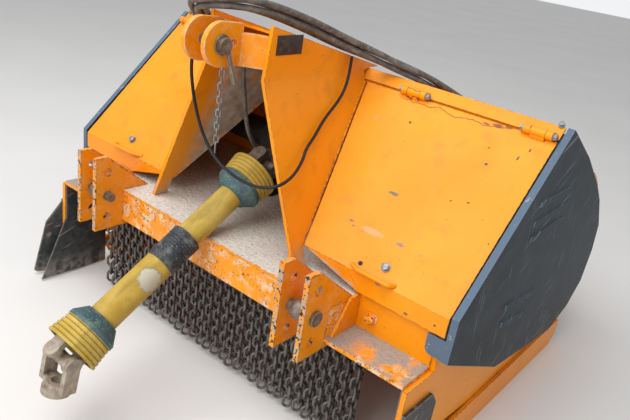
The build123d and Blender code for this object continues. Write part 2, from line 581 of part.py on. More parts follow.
# Door cylinders: barrel on the deck's bracket, rod to the lug on the door
BARREL_R = 30.0
ROD_R = 16.0
CYL_ANGLE = atan2(LUG_Z - BARREL_PIVOT_Z, LUG_D - BARREL_PIVOT_D)
CYL_LEN = hypot(LUG_Z - BARREL_PIVOT_Z, LUG_D - BARREL_PIVOT_D)
BARREL_LEN = 255.0
BARREL_BACK = 66.0
ROD_START = 150.0
for side, sx in SIDES:
    x = sx * CYL_X
    cyl_plane = Plane(origin=(x, y_at(BARREL_PIVOT_D), BARREL_PIVOT_Z), x_dir=(1, 0, 0), z_dir=(0, cos(CYL_ANGLE), sin(CYL_ANGLE)))
    with BuildPart() as door_barrel:
        with BuildSketch(cyl_plane.offset(BARREL_BACK)):
            Circle(BARREL_R)
        extrude(amount=BARREL_LEN - BARREL_BACK)
        with BuildSketch(cyl_plane.offset(BARREL_BACK + 12)):
            Circle(ROD_R + 6)
        extrude(amount=BARREL_LEN - BARREL_BACK - 12, mode=Mode.SUBTRACT)
        with BuildSketch(Plane.YZ.offset(x - 15)):
            with Locations((y_at(BARREL_PIVOT_D), BARREL_PIVOT_Z)):
                Circle(24)
            with BuildLine():
                Polyline(yz([(BARREL_PIVOT_D + r * cos(CYL_ANGLE) - w * sin(CYL_ANGLE),
                              BARREL_PIVOT_Z + r * sin(CYL_ANGLE) + w * cos(CYL_ANGLE))
                             for r, w in ((0, -20), (BARREL_BACK + 4, -20), (BARREL_BACK + 4, 20), (0, 20))]), close=True)
            make_face()
            with Locations((y_at(BARREL_PIVOT_D), BARREL_PIVOT_Z)):
                Circle(EYE_PIN_R + RUN_CLEAR, mode=Mode.SUBTRACT)
        extrude(amount=30)
        with BuildSketch(cyl_plane.offset(BARREL_LEN - 24)):
            Circle(BARREL_R)
            Circle(ROD_R + RUN_CLEAR, mode=Mode.SUBTRACT)
        extrude(amount=24)
    door_barrel.part.label = f"door_barrel_{side}"
    export_step(door_barrel.part, f"parts/door_barrel_{side}.step")

    with BuildPart() as door_rod:
        with BuildSketch(cyl_plane.offset(ROD_START)):
            Circle(ROD_R)
        extrude(amount=CYL_LEN - ROD_START - 18)
        with BuildSketch(Plane.YZ.offset(x - 14)):
            with Locations((y_at(LUG_D), LUG_Z)):
                Circle(24)
                Circle(EYE_PIN_R + 5, mode=Mode.SUBTRACT)
        extrude(amount=28)
    door_rod.part.label = f"door_rod_{side}"
    export_step(door_rod.part, f"parts/door_rod_{side}.step")

# Rotor: drum, shaft and rows of tooth holders with pointed tips, stepped round the drum
TOOTH_ROWS = 22
TOOTH_STARTS = 2
TOOTH_STEP = 49.0
TOOTH_W = 46.0
HOLDER_TOP = 246.0
with BuildPart() as rotor:
    with BuildSketch(Plane.YZ.offset(-DRUM_HALF)):
        with Locations((y_at(ROTOR_D), ROTOR_Z)):
            Circle(DRUM_R)
    extrude(amount=2 * DRUM_HALF)
    with BuildSketch(Plane.YZ.offset(-SHAFT_HALF)):
        with Locations((y_at(ROTOR_D), ROTOR_Z)):
            Circle(SHAFT_R)
    extrude(amount=2 * SHAFT_HALF)
    pitch = 2 * (DRUM_HALF - 40) / (TOOTH_ROWS - 1)
    for row in range(TOOTH_ROWS):
        for start in range(TOOTH_STARTS):
            turn = radians(row * TOOTH_STEP + start * 360 / TOOTH_STARTS)
            x = -DRUM_HALF + 40 + row * pitch
            tooth_plane = Plane(origin=(x - TOOTH_W / 2, y_at(ROTOR_D), ROTOR_Z), x_dir=(0, cos(turn), sin(turn)), z_dir=(1, 0, 0))
            with BuildSketch(tooth_plane):
                with BuildLine():
                    Polyline([(DRUM_R - 8, -50), (HOLDER_TOP - 26, -34), (HOLDER_TOP, 6), (TIP_R, 42), (HOLDER_TOP + 8, 44),
                              (DRUM_R - 8, 44)], close=True)
                make_face()
            extrude(amount=TOOTH_W)
rotor.part.label = "rotor"
export_step(rotor.part, "parts/rotor.step")

# Gearbox on the tunnel floor: ribbed housing, side necks, input neck and feet
with BuildPart() as gearbox:
    with BuildSketch(Plane.YZ.offset(-GEAR_HALF_X)):
        with BuildLine():
            Polyline(yz([(GEAR_FRONT, GEAR_Z - 70), (GEAR_FRONT + 30, GEAR_Z - 105), (GEAR_BACK - 30, GEAR_Z - 105),
                         (GEAR_BACK, GEAR_Z - 70), (GEAR_BACK, GEAR_Z + 60), (GEAR_BACK - 45, GEAR_Z + 100),
                         (GEAR_FRONT + 45, GEAR_Z + 100), (GEAR_FRONT, GEAR_Z + 60)]), close=True)
        make_face()
    extrude(amount=2 * GEAR_HALF_X)
    for sx in (-1, 1):
        with BuildSketch(Plane.YZ.offset(sx * GEAR_HALF_X)):
            with Locations((y_at(GEAR_D), GEAR_Z)):
                Circle(88)
        extrude(amount=sx * 40)
        with BuildSketch(Plane.YZ.offset(sx * 90)):
            with Locations((y_at(GEAR_D), FLOOR_TOP + 40)):
                Rectangle(170, 80)
        extrude(amount=sx * 26)
    with BuildSketch(Plane.XZ.offset(-y_at(GEAR_FRONT))):
        with Locations((0, JOINT_Z)):
            Circle(58)
    extrude(amount=30)
gearbox.part.label = "gearbox"
export_step(gearbox.part, "parts/gearbox.step")

# Cross shafts from the gearbox to the belt drives
for side, sx in SIDES:
    with BuildPart() as cross_shaft:
        with BuildSketch(Plane.YZ.offset(sx * (GEAR_HALF_X + 40))):
            with Locations((y_at(GEAR_D), GEAR_Z)):
                Circle(CROSS_SHAFT_R)
        extrude(amount=sx * (SIDE_OUT + 6 - GEAR_HALF_X - 40))
        with BuildSketch(Plane.YZ.offset(sx * (SIDE_IN - 24))):
            with Locations((y_at(GEAR_D), GEAR_Z)):
                Circle(86)
        extrude(amount=sx * 24)
    cross_shaft.part.label = f"cross_shaft_{side}"
    export_step(cross_shaft.part, f"parts/cross_shaft_{side}.step")


# Driveline: points and planes measured along its axis from the rear joint
def drive_plane(s, x_dir):
    return Plane(origin=REAR_JOINT + DRIVE_DIR * s, x_dir=x_dir, z_dir=DRIVE_DIR)


REAR_JOINT = Vector(0, y_at(JOINT_D), JOINT_Z)
FRONT_JOINT = REAR_JOINT + DRIVE_DIR * DRIVE_LEN
AXIS_X = Vector(1, 0, 0)
SWING = AXIS_X.cross(DRIVE_DIR).normalized()
YOKE_DIR = Vector(0, -cos(DRIVE_ANGLE + YOKE_BEND), -sin(DRIVE_ANGLE + YOKE_BEND))


def yoke_fork(centre, reach_dir, arm_dir, reach, hub_len, hub_r):
    with BuildPart() as fork:
        for sign in (-1, 1):
            arm = Plane(origin=centre + arm_dir * (sign * EYE_IN), x_dir=reach_dir, z_dir=arm_dir * sign)
            with BuildSketch(arm):
                Circle(EYE_R)
                with Locations(((reach + 8) / 2, 0)):
                    Rectangle(reach + 8, 2 * EYE_R - 6)
                Circle(TRUNNION_R + RUN_CLEAR, mode=Mode.SUBTRACT)
            extrude(amount=EYE_T)
        hub_plane = Plane(origin=centre + reach_dir * reach, x_dir=arm_dir, z_dir=reach_dir)
        with BuildSketch(hub_plane):
            Rectangle(2 * (EYE_IN + EYE_T), 2 * EYE_R - 6)
        extrude(amount=14)
        with BuildSketch(hub_plane):
            Circle(hub_r)
        extrude(amount=hub_len)
    return fork


def cross_piece(centre, first, second):
    with BuildPart() as cross:
        for arm_dir, other in ((first, second), (second, first)):
            with BuildSketch(Plane(origin=centre - arm_dir * (EYE_IN + EYE_T), x_dir=other, z_dir=arm_dir)):
                Circle(TRUNNION_R)
            extrude(amount=2 * (EYE_IN + EYE_T))
            with BuildSketch(Plane(origin=centre - arm_dir * (EYE_IN - 3), x_dir=other, z_dir=arm_dir)):
                Circle(TRUNNION_R + 6)
            extrude(amount=2 * (EYE_IN - 3))
    return cross


gearbox_yoke = yoke_fork(REAR_JOINT, Vector(0, 1, 0), AXIS_X, YOKE_REACH, GEAR_FRONT - 30 - JOINT_D - YOKE_REACH, YOKE_HUB_R)
gearbox_yoke.part.label = "gearbox_yoke"
export_step(gearbox_yoke.part, "parts/gearbox_yoke.step")

rear_cross = cross_piece(REAR_JOINT, AXIS_X, SWING)
rear_cross.part.label = "rear_cross"
export_step(rear_cross.part, "parts/rear_cross.step")

# Shafts: solid profile of the rear half slides in the tube of the front half
PROFILE_R = 20.0
SHAFT_TUBE_R = 27.0
INNER_END = 600.0
TUBE_START = 330.0
rear_fork = yoke_fork(REAR_JOINT, DRIVE_DIR, SWING, YOKE_REACH, 30, YOKE_HUB_R)
with BuildPart() as rear_shaft_yoke:
    add(rear_fork.part)
    with BuildSketch(drive_plane(YOKE_REACH + 10, SWING)):
        Circle(PROFILE_R)
    extrude(amount=INNER_END - YOKE_REACH - 10)
rear_shaft_yoke.part.label = "rear_shaft_yoke"
export_step(rear_shaft_yoke.part, "parts/rear_shaft_yoke.step")

front_fork = yoke_fork(FRONT_JOINT, DRIVE_DIR * -1, SWING, YOKE_REACH, 30, YOKE_HUB_R)
with BuildPart() as front_shaft_yoke:
    add(front_fork.part)
    with BuildSketch(drive_plane(TUBE_START, SWING)):
        Circle(SHAFT_TUBE_R)
        Circle(PROFILE_R + RUN_CLEAR, mode=Mode.SUBTRACT)
    extrude(amount=INNER_END + 20 - TUBE_START)
    with BuildSketch(drive_plane(INNER_END + 20, SWING)):
        Circle(SHAFT_TUBE_R)
    extrude(amount=DRIVE_LEN - YOKE_REACH - 10 - INNER_END - 20)
front_shaft_yoke.part.label = "front_shaft_yoke"
export_step(front_shaft_yoke.part, "parts/front_shaft_yoke.step")

front_cross = cross_piece(FRONT_JOINT, SWING, AXIS_X)
front_cross.part.label = "front_cross"
export_step(front_cross.part, "parts/front_cross.step")

# Tractor yoke hangs from the front cross, with its locking collar
SPLINE_R = 17.5
YOKE_COLLAR_R = 39.0
tractor_fork = yoke_fork(FRONT_JOINT, YOKE_DIR, AXIS_X, YOKE_REACH, TRACTOR_YOKE_LEN - YOKE_REACH, 31)
with BuildPart() as tractor_yoke:
    add(tractor_fork.part)
    with BuildSketch(Plane(origin=FRONT_JOINT + YOKE_DIR * (TRACTOR_YOKE_LEN - 22), x_dir=AXIS_X, z_dir=YOKE_DIR)):
        Circle(YOKE_COLLAR_R)
    extrude(amount=18)
    with BuildSketch(Plane(origin=FRONT_JOINT + YOKE_DIR * TRACTOR_YOKE_LEN, x_dir=AXIS_X, z_dir=YOKE_DIR * -1)):
        Circle(SPLINE_R)
    extrude(amount=TRACTOR_YOKE_LEN - 40, mode=Mode.SUBTRACT)
tractor_yoke.part.label = "tractor_yoke"
export_step(tractor_yoke.part, "parts/tractor_yoke.step")

# Guard tubes and ribbed bells
BELL_R = 80.0
BELL_RIBS = 5
BELL_STEP = 1.6
BELL_LEN = 62.0
BELL_WALL = 4.0
COLLAR_LEN = 46.0
COLLAR_R = 74.0
MOUTH = 42.0
FRONT_MOUTH = 28.0
SLEEVE_START = 334.0
SLEEVE_LEN = 110.0
SLEEVE_RIBS = 7


def bell_points():
    rib = BELL_LEN / BELL_RIBS
    outer = []
    for i in range(BELL_RIBS):
        radius = BELL_R - i * BELL_STEP
        outer += [(radius, i * rib), (radius, (i + 0.55) * rib), (radius - 4, (i + 0.75) * rib)]
    outer.append((COLLAR_R, BELL_LEN))
    return outer + [(COLLAR_R - BELL_WALL - 2, BELL_LEN), (BELL_R - BELL_WALL - 4, 0)]


def collar_points(tube_r):
    hold = tube_r + SEAT
    return [(COLLAR_R - BELL_WALL - 2, BELL_LEN), (COLLAR_R, BELL_LEN), (COLLAR_R, BELL_LEN + 12),
            (tube_r + 7, BELL_LEN + COLLAR_LEN), (hold, BELL_LEN + COLLAR_LEN), (hold, BELL_LEN + COLLAR_LEN - 14),
            (COLLAR_R - BELL_WALL - 2, BELL_LEN + 8)]


def sleeve_points():
    rib = (SLEEVE_LEN - 48) / SLEEVE_RIBS
    points = [(OUTER_GUARD_R + 4, 0), (OUTER_GUARD_R + 4, 24)]
    for i in range(SLEEVE_RIBS):
        points += [(OUTER_GUARD_R + 2.5, 24 + (i + 0.3) * rib), (OUTER_GUARD_R + 4, 24 + (i + 0.7) * rib)]
    return points + [(OUTER_GUARD_R + 4, SLEEVE_LEN - 24), (OUTER_GUARD_R + 4, SLEEVE_LEN),
                     (OUTER_GUARD_R, SLEEVE_LEN), (OUTER_GUARD_R, 14), (INNER_GUARD_R + 1, 14), (INNER_GUARD_R + 1, 0)]


def tube_points(radius, length):
    return [(radius - GUARD_WALL, 0), (radius, 0), (radius, length), (radius - GUARD_WALL, length)]


def turned(points, start, sign):
    mouth = REAR_JOINT + DRIVE_DIR * start
    with BuildPart() as ring:
        with BuildSketch(Plane(origin=mouth, x_dir=SWING, z_dir=SWING.cross(DRIVE_DIR * sign))):
            with BuildLine():
                Polyline(points, close=True)
            make_face()
        revolve(axis=Axis(mouth, DRIVE_DIR))
    return ring


COLLAR_END = MOUTH + BELL_LEN + COLLAR_LEN
INNER_GUARD_START = COLLAR_END - 14
OUTER_GUARD_START = SLEEVE_START + 14
OUTER_GUARD_LEN = DRIVE_LEN - FRONT_MOUTH - BELL_LEN - COLLAR_LEN + 14 - OUTER_GUARD_START
TURNED = (
    # name, profile, start along the axis, direction of the profile
    ("rear_guard_bell", bell_points(), MOUTH, 1),
    ("rear_guard_collar", collar_points(INNER_GUARD_R), MOUTH, 1),
    ("inner_guard_tube", tube_points(INNER_GUARD_R, 450), INNER_GUARD_START, 1),
    ("outer_guard_tube", tube_points(OUTER_GUARD_R, OUTER_GUARD_LEN), OUTER_GUARD_START, 1),
    ("guard_sleeve", sleeve_points(), SLEEVE_START, 1),
    ("front_guard_collar", collar_points(OUTER_GUARD_R), DRIVE_LEN - FRONT_MOUTH, -1),
    ("front_guard_bell", bell_points(), DRIVE_LEN - FRONT_MOUTH, -1),
)
for name, points, start, sign in TURNED:
    ring = turned(points, start, sign)
    ring.part.label = name
    export_step(ring.part, f"parts/{name}.step")

# Belt covers: stepped shell over each side plate, with a front flange and pressed ribs
BELT_OUTLINE = [(FOLD_D, 423), (FOLD_D, FOLD_Z + 8), (RIDGE_D, RIDGE_Z), (767, 849), (969, 720), (1066, 644), (1181, 519),
                (1213, 408), (1205, 281), (1122, 202), (968, 157), (695, 197), (488, 231)]
BELT_RIBS = (
    # front end d, z, rear end d, z
    (441, 776, 686, 771),
    (434, 720, 695, 721),
    (448, 671, 684, 675),
    (414, 469, 648, 441),
    (417, 411, 617, 374),
)
RIB_W = 20.0
RIB_UP = 4.0
WRAP_IN = 712.0
WRAP_LOW = 425.0
WRAP_TOP = 482.0
for side, sx in SIDES:
    with BuildPart() as belt_cover:
        with BuildSketch(Plane.YZ.offset(sx * BELT_STEP)):
            with BuildLine():
                Polyline(yz(BELT_OUTLINE), close=True)
            make_face()
        extrude(amount=sx * (BELT_OUT - BELT_STEP))
        with BuildSketch(Plane.YZ.offset(sx * (SIDE_OUT + SEAT))):
            with BuildLine():
                Polyline(yz(BELT_OUTLINE), close=True)
            make_face()
            offset(amount=-16, kind=Kind.INTERSECTION, mode=Mode.REPLACE)
        extrude(amount=sx * (BELT_STEP - SIDE_OUT - SEAT))
        with BuildSketch(Plane.YZ.offset(sx * (SIDE_OUT + SEAT))):
            with BuildLine():
                Polyline(yz(BELT_OUTLINE), close=True)
            make_face()
            offset(amount=-16 - BELT_WALL, kind=Kind.INTERSECTION, mode=Mode.REPLACE)
        extrude(amount=sx * (BELT_OUT - BELT_WALL - SIDE_OUT - SEAT), mode=Mode.SUBTRACT)
        with BuildSketch(Plane.XZ.offset(-y_at(FOLD_D))):
            with BuildLine():
                Polyline([(sx * WRAP_IN, WRAP_TOP), (sx * WRAP_IN, WRAP_LOW + 16), (sx * (WRAP_IN + 4), WRAP_LOW + 6),
                          (sx * (WRAP_IN + 14), WRAP_LOW), (sx * (BELT_STEP + 4), WRAP_LOW), (sx * (BELT_STEP + 4), WRAP_TOP)],
                         close=True)
            make_face()
        extrude(amount=-BELT_WALL)
        with BuildSketch(Plane.YZ.offset(sx * BELT_OUT)):
            for front_d, front_z, rear_d, rear_z in BELT_RIBS:
                with Locations((y_at((front_d + rear_d) / 2), (front_z + rear_z) / 2)):
                    SlotOverall(hypot(rear_d - front_d, rear_z - front_z), RIB_W,
                                rotation=degrees(atan2(rear_z - front_z, rear_d - front_d)))
        extrude(amount=sx * RIB_UP, taper=30)
    belt_cover.part.label = f"belt_cover_{side}"
    export_step(belt_cover.part, f"parts/belt_cover_{side}.step")

# Skids: sole with a turned-up nose and a web bolted outside each side plate
for side, sx in SIDES:
    with BuildPart() as skid:
        with BuildSketch(Plane.YZ.offset(sx * (SIDE_OUT + SEAT))):
            with BuildLine():
                Polyline(yz([(SKID_FRONT - 70, 60), (SKID_FRONT, 0), (SKID_REAR - 40, 0), (SKID_REAR, 40), (SKID_REAR, SKID_TOP - 12),
                             (SKID_REAR - 12, SKID_TOP), (SKID_FRONT - 58, SKID_TOP), (SKID_FRONT - 70, SKID_TOP - 12)]), close=True)
            make_face()
        extrude(amount=sx * (SKID_OUT - SIDE_OUT - SEAT))
        with BuildSketch(Plane.YZ.offset(sx * SKID_IN)):
            with BuildLine():
                Polyline(yz([(SKID_FRONT - 70, 60), (SKID_FRONT, 0), (SKID_REAR - 40, 0), (SKID_REAR, 40), (SKID_REAR - 10, 46),
                             (SKID_REAR - 45, SKID_T), (SKID_FRONT + 5, SKID_T), (SKID_FRONT - 62, 70)]), close=True)
            make_face()
        extrude(amount=sx * (SKID_OUT - SKID_IN))
    skid.part.label = f"skid_{side}"
    export_step(skid.part, f"parts/skid_{side}.step")

# Front guide plates: bolted flat at the side plate, flared outwards ahead of it
GUIDE_T = 10.0
GUIDE_FLARE = radians(21)
for side, sx in SIDES:
    with BuildPart() as guide_plate:
        with BuildSketch(Plane.YZ.offset(sx * (SIDE_OUT + SEAT))):
            with BuildLine():
                Polyline(yz([(0, 12), (0, 302), (136, 302), (168, 262), (168, 140), (130, 60), (60, 12)]), close=True)
            make_face()
        extrude(amount=sx * GUIDE_T)
        flare_plane = Plane(origin=(sx * (SIDE_OUT + SEAT), y_at(2), 0), x_dir=(sx * sin(GUIDE_FLARE), -cos(GUIDE_FLARE), 0),
                            z_dir=(sx * cos(GUIDE_FLARE), sin(GUIDE_FLARE), 0))
        with BuildSketch(flare_plane):
            with BuildLine():
                Polyline([(0, -sx * 12), (92, -sx * 12), (104, -sx * 20), (60, -sx * 214), (0, -sx * 300)], close=True)
            make_face()
        extrude(amount=GUIDE_T)
    guide_plate.part.label = f"guide_plate_{side}"
    export_step(guide_plate.part, f"parts/guide_plate_{side}.step")

# Chain curtain: two rows of strands under a rail behind the ledge, links showing on the front row
CHAIN_PITCH = 36.0
CHAIN_COUNT = 32
CHAIN_ROWS = (80.0, 112.0)
CHAIN_LOW = 12.0
CHAIN_BAR = 10.0
LINK_W = 34.0
LINK_H = 40.0
LINK_STEP = 62.0
RAIL_T = 10.0
RAIL_LOW = BEAM_LOW - LEDGE_T - RAIL_T
WEAR = (0, 6, 2, 9, 4, 0, 6, 2, 9, 4, 2)


def wear(row, place):
    return CHAIN_LOW + WEAR[(place * 7 + row * 4) % len(WEAR)]


def strand_x(row, place):
    return (place - (CHAIN_COUNT - 1 - row % 2) / 2) * CHAIN_PITCH


with BuildPart() as chain_curtain:
    with BuildSketch(Plane.XY.offset(RAIL_LOW)):
        with Locations((0, y_at((CHAIN_ROWS[0] + CHAIN_ROWS[-1]) / 2))):
            Rectangle(CHAIN_COUNT * CHAIN_PITCH + 20, CHAIN_ROWS[-1] - CHAIN_ROWS[0] + 24)
    extrude(amount=RAIL_T)
    for drop in sorted(set(WEAR)):
        strands = [(row, place) for row in range(len(CHAIN_ROWS)) for place in range(CHAIN_COUNT - row % 2)
                   if wear(row, place) == CHAIN_LOW + drop]
        with BuildSketch(Plane.XY.offset(CHAIN_LOW + drop)):
            for row, place in strands:
                with Locations((strand_x(row, place), y_at(CHAIN_ROWS[row]))):
                    Rectangle(CHAIN_BAR, CHAIN_BAR)
        extrude(amount=RAIL_LOW + 1 - CHAIN_LOW - drop)
    for turn in range(10):
        low = RAIL_LOW - 20 - LINK_H - turn * LINK_STEP / 2
        with BuildSketch(Plane.XY.offset(low)):
            for place in range(turn % 2, CHAIN_COUNT, 2):
                if wear(0, place) < low + LINK_H / 2:
                    with Locations((strand_x(0, place), y_at(CHAIN_ROWS[0]))):
                        Rectangle(LINK_W, CHAIN_BAR)
        extrude(amount=LINK_H)
chain_curtain.part.label = "chain_curtain"
export_step(chain_curtain.part, "parts/chain_curtain.step")

# Safety chain hanging in the tunnel: links turned by quarters, a ring at the end
SAFETY_X = -10.0
SAFETY_D = 27.0
SAFETY_TOP = TOP_LINK_Z - TOP_EAR_R - SEAT
SAFETY_LINK = 34.0
SAFETY_WIRE = 6.0
SAFETY_LINKS = 9
RING_R = 20.0
with BuildPart() as safety_chain:
    for i in range(SAFETY_LINKS):
        z = SAFETY_TOP - SAFETY_LINK / 2 - i * (SAFETY_LINK - 2 * SAFETY_WIRE + 1)
        face = Plane.YZ if i % 2 else Plane.XZ
        centre = (SAFETY_X, y_at(SAFETY_D), z)
        with BuildSketch(Plane(origin=centre, x_dir=(0, 0, 1), z_dir=face.z_dir)):
            SlotOverall(SAFETY_LINK, 22)
            SlotOverall(SAFETY_LINK - 2 * SAFETY_WIRE, 22 - 2 * SAFETY_WIRE, mode=Mode.SUBTRACT)
        extrude(amount=SAFETY_WIRE / 2, both=True)
    ring_z = SAFETY_TOP - SAFETY_LINK - (SAFETY_LINKS - 1) * (SAFETY_LINK - 2 * SAFETY_WIRE + 1) + SAFETY_WIRE + 1 - RING_R
    with BuildSketch(Plane(origin=(SAFETY_X, y_at(SAFETY_D), ring_z), x_dir=(0, 0, 1), z_dir=(1, 0, 0))):
        Circle(RING_R)
        Circle(RING_R - SAFETY_WIRE, mode=Mode.SUBTRACT)
    extrude(amount=SAFETY_WIRE / 2, both=True)
safety_chain.part.label = "safety_chain"
export_step(safety_chain.part, "parts/safety_chain.step")


# Cords: straight runs joined by tangent arcs
def bend_radii(name, points, diameter):
    radii = []
    for before, corner, after in zip(points, points[1:], points[2:]):
        first = corner - before
        second = after - corner
        half_turn = radians(first.get_angle(second)) / 2
        radii.append(0.45 * min(first.length, second.length) / tan(half_turn))
    print(name, "length", round(sum((b - a).length for a, b in zip(points, points[1:]))), "tightest", round(min(radii), 1),
          "in diameters", round(min(radii) / diameter, 1))
    return radii


def cord_tube(name, points, diameter):
    with BuildPart() as tube:
        with BuildLine() as route:
            FilletPolyline(points, radius=bend_radii(name, points, diameter))
        with BuildSketch(Plane(origin=route.line @ 0, z_dir=route.line % 0)):
            Circle(diameter / 2)
        sweep(path=route.line)
    return tube


# Hydraulic hoses from the bulkhead on the deck, over the headstock, to its left side
HOSE_D = 18.0
HOSE_ROUTE = (
    # x, depth d, height z
    (-174, 146, 985), (-174, 122, 1042), (-158, 76, 1086), (-114, 26, 1114), (-62, 14, 1126), (-16, 44, 1131),
    (20, 100, 1128), (50, 173, 1110), (80, 262, 1082), (105, 380, 1041), (150, 481, 1010), (210, 544, 984),
    (282, 600, 960), (334, 672, 914), (352, 738, 880), (352, 800, 862),
)
HOSE_LAY = (
    # name, offset across the bundle, offset over it
    ("hose_low_inner", -11.5, 0.0),
    ("hose_low_outer", 11.5, 0.0),
    ("hose_high_inner", 0.0, 20.0),
    ("hose_high_outer", 23.0, 20.0),
)
HOSE_LEAN = Vector(-0.35, -0.3, 1)
FERRULE_R = 9.7
FERRULE_LEN = 46.0


def hose_strand(across, over):
    route = [Vector(x, y_at(d), z) for x, d, z in HOSE_ROUTE]
    last = len(route) - 1
    strand = []
    for i, point in enumerate(route):
        along = (route[min(i + 1, last)] - route[max(i - 1, 0)]).normalized()
        side = along.cross(HOSE_LEAN).normalized()
        strand.append(point + side * across + side.cross(along) * over)
    return strand


for name, across, over in HOSE_LAY:
    hose = cord_tube(name, hose_strand(across, over), HOSE_D)
    hose.part.label = name
    export_step(hose.part, f"parts/{name}.step")

with BuildPart() as hose_ends:
    for name, across, over in HOSE_LAY:
        tip, neighbour = hose_strand(across, over)[:2]
        outward = (tip - neighbour).normalized()
        with BuildSketch(Plane(origin=tip + outward * SEAT, z_dir=outward)):
            Circle(FERRULE_R)
        extrude(amount=FERRULE_LEN)
hose_ends.part.label = "hose_ends"
export_step(hose_ends.part, "parts/hose_ends.step")

# Bulkhead plate on the deck where the hoses go in
BULKHEAD_SLOPE = atan2(HOSE_ROUTE[-1][2] - HOSE_ROUTE[-2][2], HOSE_ROUTE[-1][1] - HOSE_ROUTE[-2][1])
BULKHEAD_GAP = 1.7
BULKHEAD_T = 8.0
BULKHEAD_HALF = 34.0
BULKHEAD_UP = 38.0
BULKHEAD_DOWN = 62.0


def bulkhead_point(along, up):
    return (HOSE_ROUTE[-1][1] + along * cos(BULKHEAD_SLOPE) - up * sin(BULKHEAD_SLOPE),
            HOSE_ROUTE[-1][2] + along * sin(BULKHEAD_SLOPE) + up * cos(BULKHEAD_SLOPE))


with BuildPart() as hose_bulkhead:
    with BuildSketch(Plane.YZ.offset(HOSE_ROUTE[-1][0] + 6 - BULKHEAD_HALF)):
        with BuildLine():
            Polyline(yz([bulkhead_point(along, up) for along, up in (
                (BULKHEAD_GAP, -BULKHEAD_DOWN), (BULKHEAD_GAP, BULKHEAD_UP), (BULKHEAD_GAP + BULKHEAD_T, BULKHEAD_UP),
                (BULKHEAD_GAP + BULKHEAD_T, -BULKHEAD_DOWN),
            )]), close=True)
        make_face()
        with BuildLine():
            Polyline(yz(DECK_TOP + [(900, 300), (300, 300)]), close=True)
        make_face(mode=Mode.SUBTRACT)
    extrude(amount=2 * BULKHEAD_HALF)
hose_bulkhead.part.label = "hose_bulkhead"
export_step(hose_bulkhead.part, "parts/hose_bulkhead.step")

# Cable from the top link's left ear, across the tunnel and up the right headstock plate
CABLE_D = 9.0
CABLE_ROUTE = (
    # x, depth d, height z
    (-56, -36, 1031.6), (-57, -44, 985), (-57, -30, 900), (-50, -6, 812), (-18, 4, 750), (38, 4, 712), (108, 10, 692),
    (176, 12, 692), (234, 24, 710), (236, 84, 728), (215, 144, 759), (202, 167, 785), (190, 213, 810), (175, 265, 851),
    (158, 343, 889), (146, 387, 927), (132, 413, 971), (131, 413, 1012),
)
cable_loop = cord_tube("cable_loop", [Vector(x, y_at(d), z) for x, d, z in CABLE_ROUTE], CABLE_D)
cable_loop.part.label = "cable_loop"
export_step(cable_loop.part, "parts/cable_loop.step")

# Hose in the tunnel from the headstock to the gearbox
TUNNEL_HOSE_D = 14.0
TUNNEL_HOSE_ROUTE = (
    # x, depth d, height z
    (-62, 158, 986.5), (-63, 162, 925), (-80, 195, 860), (-84, 214, 785), (-80, 240, 715), (-78, 294, 657), (-78, 371.4, 655),
)
tunnel_hose = cord_tube("tunnel_hose", [Vector(x, y_at(d), z) for x, d, z in TUNNEL_HOSE_ROUTE], TUNNEL_HOSE_D)
tunnel_hose.part.label = "tunnel_hose"
export_step(tunnel_hose.part, "parts/tunnel_hose.step")
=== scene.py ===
# %% [markdown]
# # A tractor stone crusher
# A stone crusher hangs on a tractor's three-point linkage. Its frame is welded steel plate under orange
# enamel, with a jointed drive shaft at the front and a curtain of chains that keeps stones from flying
# out. The shapes of the plates come from the CAD frame, so this lesson adds what CAD leaves plain: round
# chain links, bolts, smooth hoses and finishes that have been used outdoors.

# %% Load the frame
import bpy
import json
from math import atan2, cos, pi, radians, sin
from mathutils import Matrix, Vector


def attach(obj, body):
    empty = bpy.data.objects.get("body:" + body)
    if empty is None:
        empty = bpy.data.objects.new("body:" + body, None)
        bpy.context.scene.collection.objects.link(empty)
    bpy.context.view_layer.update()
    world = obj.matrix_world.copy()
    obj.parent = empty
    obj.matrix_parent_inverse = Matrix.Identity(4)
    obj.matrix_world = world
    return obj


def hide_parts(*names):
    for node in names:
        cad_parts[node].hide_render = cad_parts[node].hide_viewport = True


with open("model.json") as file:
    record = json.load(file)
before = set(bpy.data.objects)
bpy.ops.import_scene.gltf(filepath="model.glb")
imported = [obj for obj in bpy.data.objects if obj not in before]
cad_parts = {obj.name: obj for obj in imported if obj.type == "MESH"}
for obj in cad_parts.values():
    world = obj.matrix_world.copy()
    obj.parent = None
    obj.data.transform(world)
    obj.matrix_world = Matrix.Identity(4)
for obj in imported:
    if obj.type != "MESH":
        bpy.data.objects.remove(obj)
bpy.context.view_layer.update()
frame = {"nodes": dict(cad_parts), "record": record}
print("CAD nodes:", len(frame["nodes"]))

# %% [markdown]
# The frame's own drawing measures depth from the front face of the hitch beam, in millimetres. One small
# function turns such a place into the scene's metres, so that every later step can use the numbers of
# that drawing. The covers slope from their fold up to their hinges, and bolts stand on that slope.

# %% Places in the machine
BEAM_Y = -414.7


def at(x, d, z):
    return Vector((x, BEAM_Y + d, z)) / 1000


FOLD = (107.0, 542.0)
HINGE = (511.5, 933.0)
SLOPE = atan2(HINGE[1] - FOLD[1], HINGE[0] - FOLD[0])
SLOPE_NORMAL = Vector((0, -sin(SLOPE), cos(SLOPE)))
print("cover slope in degrees:", round(SLOPE * 180 / pi, 1))

# %% [markdown]
# The camera stands at the machine's front right corner, a little above it, and is held slightly crooked,
# as a picture taken by hand is. Its three axes are worked out from the heading, the tilt and the roll.

